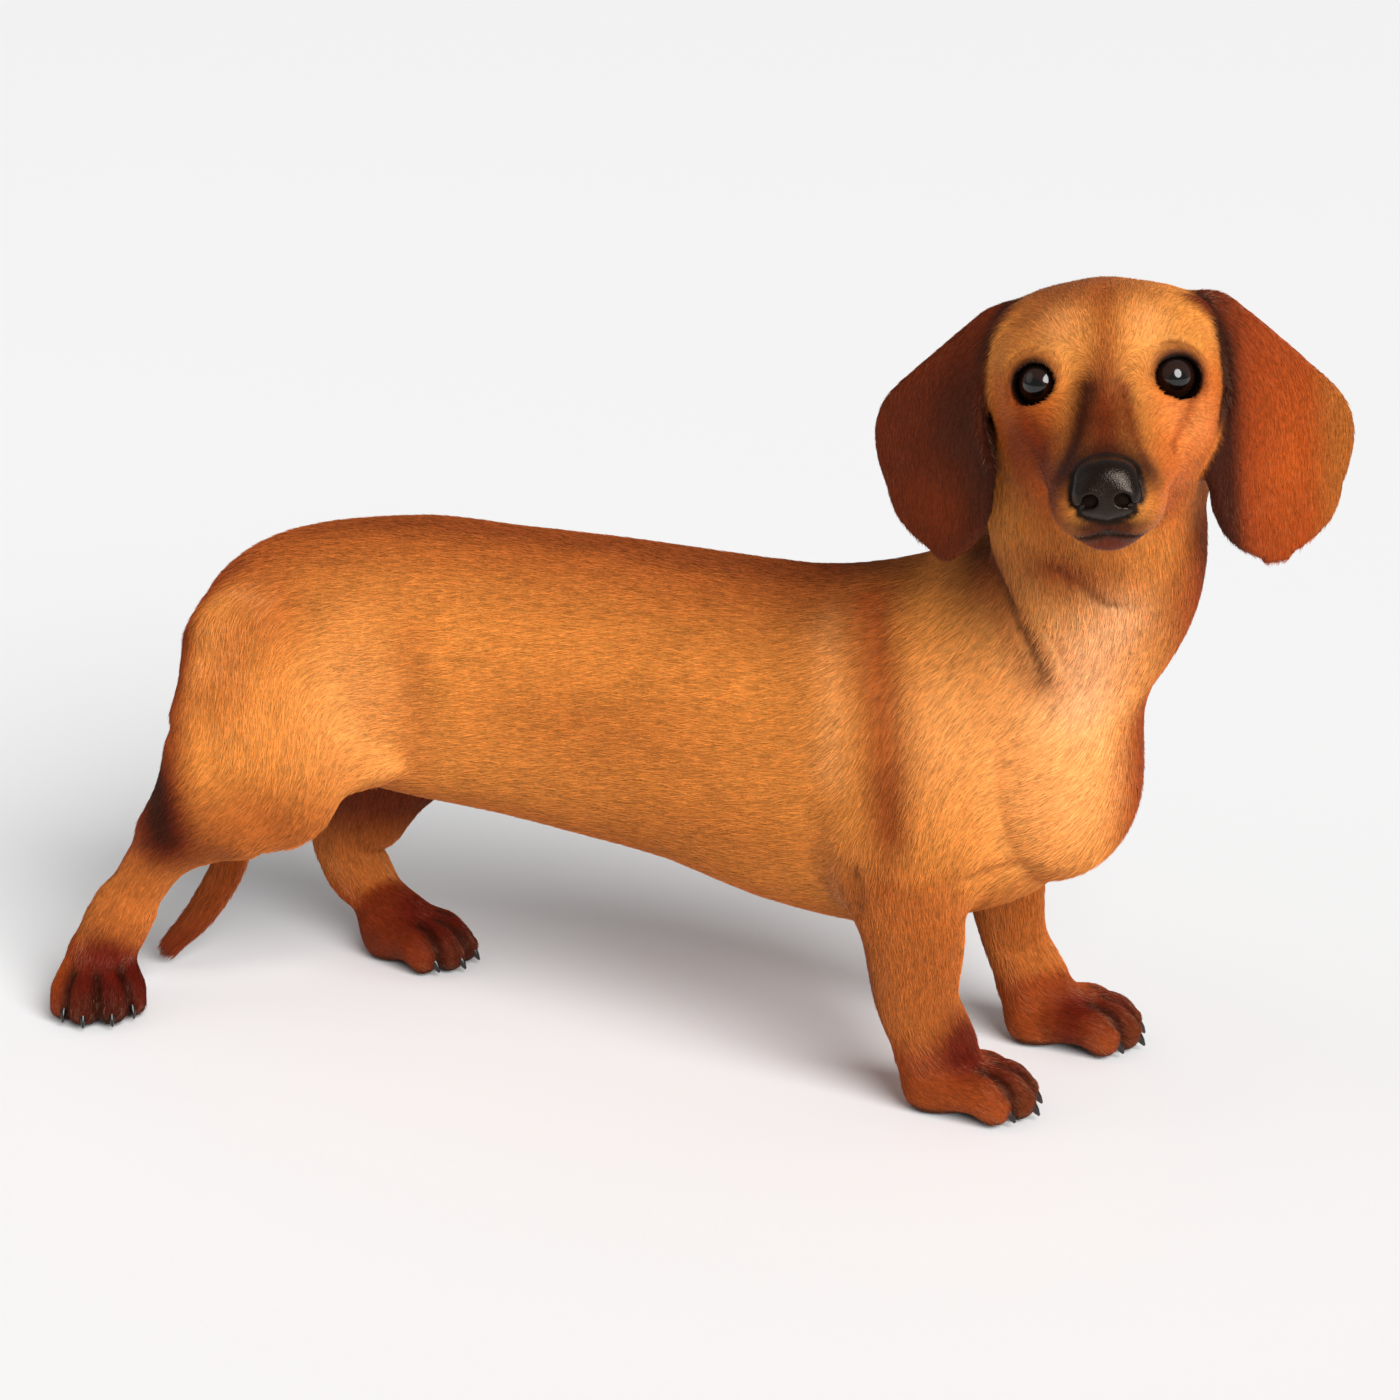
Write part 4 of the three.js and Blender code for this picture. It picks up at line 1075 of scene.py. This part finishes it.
head_q = head.local(skin_points)
eye_gap = np.linalg.norm(head_q - EYE, axis=1)
on_face = share["head"] + share["muzzle"] + share["lid"]
room = (1 - bare) * ease(10.2, 12.8, eye_gap) * ease(0.8, 3.0, nose_field(skin_points))
hair_length *= 0.45 + 0.55 * ease(9, 22, np.where(on_face > 0.3, eye_gap, 60))
hair_length[skin_points[:, 2] < 14] *= 0.8

# Tufts to the square millimetre, and the width of one, by region.
DENSITY = {
    "trunk": 1.22, "neck": 1.2, "leg": 1.25, "tail": 1.4, "paw": 1.8,
    "head": 2.1, "muzzle": 2.8, "lid": 2.8, "ear": 1.6,
}  # fmt: skip
WIDTH = {
    "trunk": 0.36, "neck": 0.34, "leg": 0.34, "tail": 0.36, "paw": 0.26,
    "head": 0.22, "muzzle": 0.18, "lid": 0.16, "ear": 0.26,
}  # fmt: skip
density = sum(DENSITY[r] * s for r, s in share.items()) * room
width = sum(WIDTH[r] * s for r, s in share.items())

for name, values, kind in (
    ("coat_colour", colour, "FLOAT_VECTOR"),
    ("lie", lie, "FLOAT_VECTOR"),
    ("bare", bare, "FLOAT"),
    ("density", density, "FLOAT"),
    ("hair", np.stack([hair_length, width, width * 0.5], 1), "FLOAT_VECTOR"),
):
    store(skin_mesh, name, values, kind)

# Each coat piece grows on one zone of the skin: the first whose test holds.
ZONES = {
    "coat_ears": lambda p, own: own["ear"] > 0.5,
    "coat_head": lambda p, own: np.linalg.norm((p - HEAD_AT + [0, 0, 22]) / [70, 70, 62], axis=1) < 1,
    "coat_hind_legs": lambda p, own: (p[:, 2] < 88) & (p[:, 0] < -60),
    "coat_fore_legs": lambda p, own: (p[:, 2] < 88) & (p[:, 0] > 40),
    "coat_rump": lambda p, own: p[:, 0] < -125,
    "coat_loin": lambda p, own: p[:, 0] < -50,
    "coat_barrel": lambda p, own: p[:, 0] < 30,
    "coat_chest": lambda p, own: p[:, 2] < 172,
    "coat_neck": lambda p, own: p[:, 2] > 0,
}


def per_face(mesh, values):
    """The mean of vertex values over each face."""
    vertex = np.empty(len(mesh.loops), np.int32)
    mesh.loops.foreach_get("vertex_index", vertex)
    start, count = np.empty(len(mesh.polygons), np.int32), np.empty(len(mesh.polygons), np.int32)
    mesh.polygons.foreach_get("loop_start", start)
    mesh.polygons.foreach_get("loop_total", count)
    return np.add.reduceat(values[vertex], start, axis=0) / (count[:, None] if values.ndim == 2 else count)


middles = per_face(skin_mesh, skin_points)
own = {region: per_face(skin_mesh, s) for region, s in share.items()}
zone = np.full(len(middles), -1)
for number, test in enumerate(ZONES.values()):
    zone[test(middles, own) & (zone < 0)] = number
store(skin_mesh, "zone", zone, "INT", "FACE")

skin_mesh.vertices.foreach_set("co", placed(skin_points).ravel())
skin_mesh.update()
shade_smooth(skin_mesh)

skin = piece_of("skin", skin_mesh)
bpy.context.view_layer.objects.active = skin
skin.select_set(True)
bpy.ops.object.mode_set(mode="EDIT")
bpy.ops.mesh.select_all(action="SELECT")
bpy.ops.uv.smart_project(angle_limit=1.15, island_margin=0.004)
bpy.ops.object.mode_set(mode="OBJECT")
skin_mesh.uv_layers[0].name = "OFBake"


# ---- wiring for materials and for geometry nodes -------------------------------------------------


class Wire:
    """The output of a node. Arithmetic on it adds Math nodes."""

    def __init__(self, wiring, socket):
        self.wiring, self.socket = wiring, socket

    def math(self, operation, *values):
        return self.wiring.node("ShaderNodeMath", {"operation": operation}, dict(enumerate(values)))

    def __add__(self, other):
        return self.math("ADD", self, other)

    def __sub__(self, other):
        return self.math("SUBTRACT", self, other)

    def __rsub__(self, other):
        return self.math("SUBTRACT", other, self)

    def __mul__(self, other):
        return self.math("MULTIPLY", self, other)

    def __truediv__(self, other):
        return self.math("DIVIDE", self, other)

    __radd__, __rmul__ = __add__, __mul__


class Wiring:
    """Adds nodes to a tree."""

    def __init__(self, tree):
        self.tree = tree

    def node(self, kind, settings=None, sockets=None, out=0):
        """A node with its settings, then its sockets, each a value or a Wire. Gives one output."""
        made = self.tree.nodes.new(kind)
        for name, value in (settings or {}).items():
            setattr(made, name, value)
        for key, value in (sockets or {}).items():
            if isinstance(value, Wire):
                self.tree.links.new(value.socket, made.inputs[key])
            else:
                made.inputs[key].default_value = value
        return Wire(self, made.outputs[out]) if made.outputs else made

    def mix(self, a, b, factor):
        """From colour a to colour b."""
        a, b = (c if isinstance(c, Wire) else (*c, 1.0) for c in (a, b))
        return self.node("ShaderNodeMix", {"data_type": "RGBA"}, {0: factor, 6: a, 7: b}, out=2)

    def scaled(self, vector, amount):
        return self.node("ShaderNodeVectorMath", {"operation": "SCALE"}, {0: vector, 3: amount})

    def vector(self, operation, *values):
        return self.node("ShaderNodeVectorMath", {"operation": operation}, dict(enumerate(values)))

    def attribute(self, name, out=2):
        return self.node("ShaderNodeAttribute", {"attribute_name": name}, out=out)

    def noise(self, at, size, detail=2.0):
        """Soft noise with features of this size in metres, around 0.5."""
        return self.node("ShaderNodeTexNoise", {}, {"Vector": at, "Scale": 1 / size, "Detail": detail})

    def position(self):
        return self.node("ShaderNodeTexCoord", out="Object")

    def bump(self, height, strength, distance):
        sockets = {"Height": height, "Strength": strength, "Distance": distance}
        return self.node("ShaderNodeBump", {}, sockets)


def finish_of(name, constants):
    """A material with its plain values set, its wiring, and a way to link what varies."""
    material = bpy.data.materials.new(name)
    material.use_nodes = True
    surface = material.node_tree.nodes["Principled BSDF"]
    for key, value in constants.items():
        surface.inputs[key].default_value = value
    wiring = Wiring(material.node_tree)

    def vary(**links):
        for key, wire in links.items():
            material.node_tree.links.new(wire.socket, surface.inputs[key.replace("_", " ").title()])

    return material, wiring, vary


def short_hairs(w, at, size, reach, samples):
    """Fine streaks: noise drawn out along the lie of the hair."""
    along = w.attribute("lie", out=1)
    total = 0.0
    for i in range(samples):
        shift = reach * (i / (samples - 1) - 0.5)
        total = w.noise(w.vector("ADD", at, w.scaled(along, shift)), size, 0.0) + total
    return total / samples


def mottle(w, at):
    """Soft unevenness of the colour, broad and fine, around 0."""
    return (w.noise(at, 0.012) - 0.5) * 0.3 + (w.noise(at, 0.0019) - 0.5) * 0.42


def fur_on_skin():
    sheen = {"Specular IOR Level": 0.2, "Specular Tint": (1, 0.6, 0.4, 1)}
    material, w, vary = finish_of("short_fur", sheen)
    at = w.position()
    streak = short_hairs(w, at, 0.0006, 0.003, 7)
    colour, bare = w.attribute("coat_colour", out=1), w.attribute("bare")
    # 0.78 darkens the skin under the tufts: painted shade; the streaks and mottle vary its tone
    shade = 0.78 + (streak - 0.5) * 1.8 + mottle(w, at)
    coat = w.scaled(colour, shade)
    leather = w.noise(at, 0.0009, 3.0)
    vary(
        base_color=w.mix(coat, SOOT, bare),
        roughness=0.55 - bare * 0.2,
        normal=w.bump(streak * (1 - bare) * 1.5 + leather * bare * 0.4, 0.6, 0.0004),
    )
    return material


def fur_of_tufts():
    sheen = {"Specular IOR Level": 0.35, "Specular Tint": (1, 0.6, 0.36, 1)}
    material, w, vary = finish_of("short_fur_tufts", sheen)
    colour, tuft, along = w.attribute("coat_colour", out=1), w.attribute("tuft"), w.attribute("along")
    # Each tuft is darker at its root than at its tip: painted shade; tufts also differ in tone at random.
    shade = (0.68 + tuft * 0.7) * (0.78 + along * 0.45) + mottle(w, w.position())
    vary(base_color=w.scaled(colour, shade), roughness=0.36 + tuft * 0.15)
    return material


# ---- the coat ------------------------------------------------------------------------------------


COAT_INPUTS = {
    "Skin": "Geometry",
    "Zone": "Int",
    "Seed": "Int",
    "Lift": "Float",
    "Stray": "Float",
    "Patch": "Float",
}
LIFT, STRAY = 0.09, 0.26  # how far a tuft stands off the skin, and turns off the lie of the hair, in radians
PATCH = 0.003  # the share of the colour map that each tuft takes


def make_tuft():
    """A closed spike one unit long, wide and thick, lying along +x from a root just under the skin."""
    points = [(0, -0.5, -0.2), (0, 0.5, -0.2), (0, 0, 0.8), (1, 0, 0.15)]
    mesh = new_mesh("tuft", points, [(0, 2, 1), (0, 1, 3), (1, 2, 3), (2, 0, 3)])
    store(mesh, "along", [0, 0, 0, 1])
    store(mesh, "patch", [(0, 0, 0), (1, 0, 0), (0.5, 0.3, 0), (0.5, 1, 0)], "FLOAT_VECTOR")
    return bpy.data.objects.new("tuft", mesh)


def coat_tree(tuft, material):
    """Lays tufts on the faces of one zone of the skin, along the lie of the hair."""
    tree = bpy.data.node_groups.new("lay_coat", "GeometryNodeTree")
    inputs = {}
    for name, kind in COAT_INPUTS.items():
        socket = tree.interface.new_socket(name, in_out="INPUT", socket_type="NodeSocket" + kind)
        inputs[name] = socket.identifier
    tree.interface.new_socket("Coat", in_out="OUTPUT", socket_type="NodeSocketGeometry")
    w = Wiring(tree)
    entry = tree.nodes.new("NodeGroupInput")
    given = {name: Wire(w, entry.outputs[name]) for name in inputs}

    def named(name, kind="FLOAT"):
        return w.node("GeometryNodeInputNamedAttribute", {"data_type": kind}, {"Name": name})

    def chance(low, high, salt):
        sockets = {2: low, 3: high, 8: given["Seed"] + salt}
        return w.node("FunctionNodeRandomValue", {"data_type": "FLOAT"}, sockets, out=1)

    def stored(geometry, name, value, kind="FLOAT", domain="POINT"):
        sockets = {"Geometry": geometry, "Name": name, "Value": value}
        return w.node("GeometryNodeStoreNamedAttribute", {"data_type": kind, "domain": domain}, sockets)

    in_zone = w.node(
        "FunctionNodeCompare",
        {"data_type": "INT", "operation": "EQUAL"},
        {2: named("zone", "INT"), 3: given["Zone"]},
    )
    points = w.node(
        "GeometryNodeDistributePointsOnFaces",
        {},
        {
            "Mesh": given["Skin"],
            "Selection": in_zone,
            "Seed": given["Seed"],
            "Density": named("density") * 1e6,  # to the square metre
        },
        out="Points",
    )
    normal = Wire(w, points.socket.node.outputs["Normal"])
    points = stored(points, "tuft", chance(0.0, 1.0, 1))
    points = stored(points, "root", named("OFBake", "FLOAT_VECTOR"), "FLOAT_VECTOR")
    flat = w.node(
        "FunctionNodeAxesToRotation",
        {"primary_axis": "Z", "secondary_axis": "X"},
        {0: normal, 1: named("lie", "FLOAT_VECTOR")},
    )
    angles = w.node(
        "ShaderNodeCombineXYZ",
        {},
        {
            0: chance(-0.3, 0.3, 2),
            1: given["Lift"] * chance(-1.5, -0.5, 3),
            2: given["Stray"] * chance(-1.0, 1.0, 4),
        },
    )
    tilt = w.node("FunctionNodeEulerToRotation", {}, {0: angles})
    turned = w.node("FunctionNodeRotateRotation", {"rotation_space": "LOCAL"}, {0: flat, 1: tilt})
    size = w.scaled(w.scaled(named("hair", "FLOAT_VECTOR"), 0.001), chance(0.75, 1.25, 5))
    shape = w.node("GeometryNodeObjectInfo", {}, {"Object": tuft}, out="Geometry")
    laid = w.node(
        "GeometryNodeInstanceOnPoints",
        {},
        {"Points": points, "Instance": shape, "Rotation": turned, "Scale": size},
    )
    solid = w.node("GeometryNodeRealizeInstances", {}, {0: laid})
    middle = w.vector("SUBTRACT", named("patch", "FLOAT_VECTOR"), (0.5, 0.5, 0.0))
    bake = w.vector("ADD", named("root", "FLOAT_VECTOR"), w.scaled(middle, given["Patch"]))
    solid = stored(solid, "OFBake", bake, "FLOAT2", "CORNER")
    solid = w.node("GeometryNodeSetMaterial", {}, {"Geometry": solid, "Material": material})
    leave = tree.nodes.new("NodeGroupOutput")
    tree.links.new(solid.socket, leave.inputs[0])
    return tree, inputs


def lay_coat(name, number, tree, inputs):
    """Grows one piece of the coat and makes it a plain mesh."""
    layer = skin.modifiers.new(name, "NODES")
    layer.node_group = tree
    settings = {"Zone": number, "Seed": 40 + 10 * number, "Lift": LIFT, "Stray": STRAY, "Patch": PATCH}
    for key, value in settings.items():
        layer[inputs[key]] = value
    shown = bpy.context.evaluated_depsgraph_get()
    mesh = bpy.data.meshes.new_from_object(
        skin.evaluated_get(shown), preserve_all_data_layers=True, depsgraph=shown
    )
    skin.modifiers.remove(layer)
    mesh.name = name
    for spare in ("lie", "bare", "density", "hair", "zone", "root", "patch"):
        if spare in mesh.attributes:
            mesh.attributes.remove(mesh.attributes[spare])
    return piece_of(name, mesh, slot="fur")


skin_fur = fur_on_skin()
skin_mesh.materials.append(skin_fur)
tuft = make_tuft()
coat, coat_inputs = coat_tree(tuft, fur_of_tufts())
for number, name in enumerate(ZONES):
    lay_coat(name, number, coat, coat_inputs)
bpy.data.objects.remove(tuft)

FLESH = [
    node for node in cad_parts
    if not node.startswith(("claw_", "eye_")) and node != "nose"
]  # fmt: skip
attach(skin, BODY)
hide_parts(*FLESH)


# ---- eyes ----------------------------------------------------------------------------------------

IRIS_RADIUS, PUPIL_RADIUS, CORNEA_RISE = 6.2, 3.3, 0.9


def eye_material():
    wet = {
        "Roughness": 0.12,
        "IOR": 1.42,
        "Coat Weight": 1.0,
        "Coat Roughness": 0.07,
        "Coat IOR": 1.4,
        "Specular IOR Level": 0.3,
    }
    material, w, vary = finish_of("eye", wet)
    off_axis = w.attribute("off_axis")  # millimetres from the middle of the pupil

    def past(radius, soft):
        """0 inside this radius and 1 outside it."""
        sockets = {0: off_axis, 1: radius - soft, 2: radius + soft, 3: 0.0, 4: 1.0}
        return w.node("ShaderNodeMapRange", {"interpolation_type": "SMOOTHSTEP"}, sockets)

    fibres = w.noise(w.position(), 0.0007, 3.0)
    iris = w.mix(tone("160804"), tone("2a1209"), fibres)
    inner = w.mix(tone("050403"), iris, past(PUPIL_RADIUS, 0.3))
    vary(base_color=w.mix(inner, tone("0a0706"), past(IRIS_RADIUS, 0.8)))
    return material


def make_eye(name, side, material):
    """A ball with a cornea, its pole turned to where the eye looks."""
    rings, sides = 40, 48
    theta = np.concatenate([np.linspace(0, 0.9, 26)[1:], np.linspace(0.9, math.pi, rings - 24)[1:-1]])
    phi = np.linspace(0, 2 * math.pi, sides, endpoint=False)
    rise = CORNEA_RISE * ease(IRIS_RADIUS + 1.2, 0, EYE_RADIUS * np.sin(theta)) * (theta < 1.5)
    radius = EYE_RADIUS + rise
    ring = np.stack([
        np.repeat(radius * np.cos(theta), sides),
        (radius * np.sin(theta))[:, None].repeat(sides, 1).ravel() * np.tile(np.cos(phi), len(theta)),
        (radius * np.sin(theta))[:, None].repeat(sides, 1).ravel() * np.tile(np.sin(phi), len(theta)),
    ], 1)  # fmt: skip
    points = np.vstack([[[EYE_RADIUS + CORNEA_RISE, 0, 0]], ring, [[-EYE_RADIUS, 0, 0]]])
    faces = [(0, 1 + i, 1 + (i + 1) % sides) for i in range(sides)]
    for r in range(len(theta) - 1):
        a, b = 1 + r * sides, 1 + (r + 1) * sides
        faces += [(a + i, b + i, b + (i + 1) % sides, a + (i + 1) % sides) for i in range(sides)]
    last, pole = 1 + (len(theta) - 1) * sides, len(points) - 1
    faces += [(last + i, pole, last + (i + 1) % sides) for i in range(sides)]
    off_axis = np.where(points[:, 0] > 0, np.hypot(points[:, 1], points[:, 2]), 99)
    turned = points @ GAZE + EYE
    if side < 0:
        turned[:, 1] *= -1
        faces = [f[::-1] for f in faces]
    mesh = new_mesh(name, placed(head.place(turned)), faces)
    store(mesh, "off_axis", off_axis)
    shade_smooth(mesh)
    return piece_of(name, mesh, material, "eye", [name])


eye_finish = eye_material()
make_eye("eye_left", 1, eye_finish)
make_eye("eye_right", -1, eye_finish)


# ---- nose ----------------------------------------------------------------------------------------


def nose_leather():
    moist = {"Specular IOR Level": 0.32, "Specular Tint": (1, 0.82, 0.7, 1)}
    material, w, vary = finish_of("nose_leather", moist)
    at = w.position()
    pebble_size = 0.0008
    sockets = {"Vector": at, "Scale": 1 / pebble_size}
    cells = w.node("ShaderNodeTexVoronoi", {"feature": "DISTANCE_TO_EDGE"}, sockets)
    pebble = cells.math("MINIMUM", cells * 4.0, 1.0)
    # The base colour is darker in the grooves between the pebbles: painted shade.
    vary(
        base_color=w.mix(tone("060302"), tone("190d08"), pebble * 0.6 + w.noise(at, 0.004) * 0.3),
        roughness=0.3 - pebble * 0.06,
        normal=w.bump(pebble + w.noise(at, 0.0005) * 0.3, 0.35, 0.00012),
    )
    return material


def make_nose():
    """The nose pad, modelled in the head's frame and then placed."""

    def field(q):
        return nose_field(head.place(q))

    step = 0.45
    grid = [np.arange(low, high, step) for low, high in ((36, 66), (-16.2, 16.3), (-42, -8))]
    points, quads = surface_of(field, *grid)
    points = settle(field, points, 2, longest=0.3)
    mesh = new_mesh("nose_pad", placed(head.place(points)), quads)
    shade_smooth(mesh)
    return piece_of("nose_pad", mesh, nose_leather(), "nose_leather", ["nose"])


make_nose()


# ---- claws ---------------------------------------------------------------------------------------

CLAW_LENGTH, CLAW_RADIUS, CLAW_DROOP = 5.8, 2.6, 5.2
CLAW_SIDES, CLAW_RINGS = 12, 9


def claw_horn():
    material, w, vary = finish_of("claw_horn", {"Specular IOR Level": 0.55})
    at = w.position()
    grain = w.noise(at, 0.0006, 3.0)
    vary(
        base_color=w.mix(tone("080505"), tone("241814"), grain * 0.8),
        roughness=0.16 + grain * 0.2,
        normal=w.bump(grain, 0.3, 0.0001),
    )
    return material


def make_claw(place, number, paw, root, splay, material):
    """A tapered horn that curves down, flatter at its sides."""
    heading = math.radians(splay)
    points = []
    for t in np.linspace(-0.35, 1, CLAW_RINGS):
        ahead, droop = CLAW_LENGTH * t, CLAW_DROOP * max(t, 0) ** 2
        radius = CLAW_RADIUS * (1 - 0.75 * max(t, 0) ** 1.8) if t < 1 else 0.4
        angle = np.linspace(0, 2 * math.pi, CLAW_SIDES, endpoint=False)
        sideways, up = 0.72 * radius * np.cos(angle), radius * np.sin(angle)
        lean = up * 0.7 * max(t, 0)
        points.append(
            root
            + np.stack([
                ahead * math.cos(heading) + lean - sideways * math.sin(heading),
                ahead * math.sin(heading) + sideways * math.cos(heading),
                up - droop,
            ], 1)
        )  # fmt: skip
    faces = [tuple(range(CLAW_SIDES))[::-1]]
    for r in range(CLAW_RINGS - 1):
        a = r * CLAW_SIDES
        for s in range(CLAW_SIDES):
            n = (s + 1) % CLAW_SIDES
            faces.append((a + s, a + n, a + n + CLAW_SIDES, a + s + CLAW_SIDES))
    faces.append(tuple(range((CLAW_RINGS - 1) * CLAW_SIDES, CLAW_RINGS * CLAW_SIDES)))
    name = f"claw_{place}_{number}"
    mesh = new_mesh(name, placed(paw.place(np.vstack(points))), faces)
    b = bmesh.new()
    b.from_mesh(mesh)
    bmesh.ops.recalc_face_normals(b, faces=b.faces)
    b.to_mesh(mesh)
    b.free()
    shade_smooth(mesh)
    return piece_of(name, mesh, material, "claw", [name])


horn = claw_horn()
for place, paw in paws.items():
    for i, (root, splay) in enumerate(paw.claws):
        make_claw(place, i + 1, paw, root, splay, horn)


# ---- floor, light and camera ---------------------------------------------------------------------

FLOOR_HALF_WIDTH = 6  # metres
BODY_MIDDLE = placed((0, 0, 141))  # what the lights and the camera look at


def make_floor():
    r = FLOOR_HALF_WIDTH
    mesh = new_mesh("floor", [(-r, -r, 0), (r, -r, 0), (r, r, 0), (-r, r, 0)], [(0, 1, 2, 3)])
    matt = {"Base Color": (0.92, 0.92, 0.92, 1), "Roughness": 0.9, "Specular IOR Level": 0.1}
    material, _, _ = finish_of("pale_floor", matt)
    floor = piece_of("floor", mesh, material)


def stand(name, data, azimuth, elevation, distance):
    """Stands a light or a camera round the dog, looking at its middle.

    Azimuth 0 is square to its right side, and 90 is ahead of it."""
    a, e = math.radians(azimuth), math.radians(elevation)
    away = Vector((math.sin(a) * math.cos(e), -math.cos(a) * math.cos(e), math.sin(e)))
    stood = bpy.data.objects.new(name, data)
    stood.location = Vector(BODY_MIDDLE) + away * distance
    stood.rotation_euler = away.to_track_quat("Z", "Y").to_euler()
    bpy.context.scene.collection.objects.link(stood)
    return stood


make_floor()

key = bpy.data.lights.new("key", "SUN")
key.energy, key.angle = 4.3, math.radians(40)
stand("key", key, azimuth=48, elevation=32, distance=2.0)

fill = bpy.data.lights.new("fill", "AREA")
fill.shape, fill.size, fill.energy = "DISK", 1.6, 3
stand("fill", fill, azimuth=-60, elevation=30, distance=2.4)

camera = bpy.data.cameras.new("camera")
camera.lens, camera.sensor_width = 81.5, 36
bpy.context.scene.camera = stand("camera", camera, azimuth=20, elevation=17, distance=1.222)

world = bpy.data.worlds.new("studio")
bpy.context.scene.world = world
world.use_nodes = True
sky = world.node_tree.nodes["Background"]
sky.inputs["Color"].default_value = (1, 1, 1, 1)
sky.inputs["Strength"].default_value = 0.26

bpy.context.scene.view_settings.view_transform = "Standard"
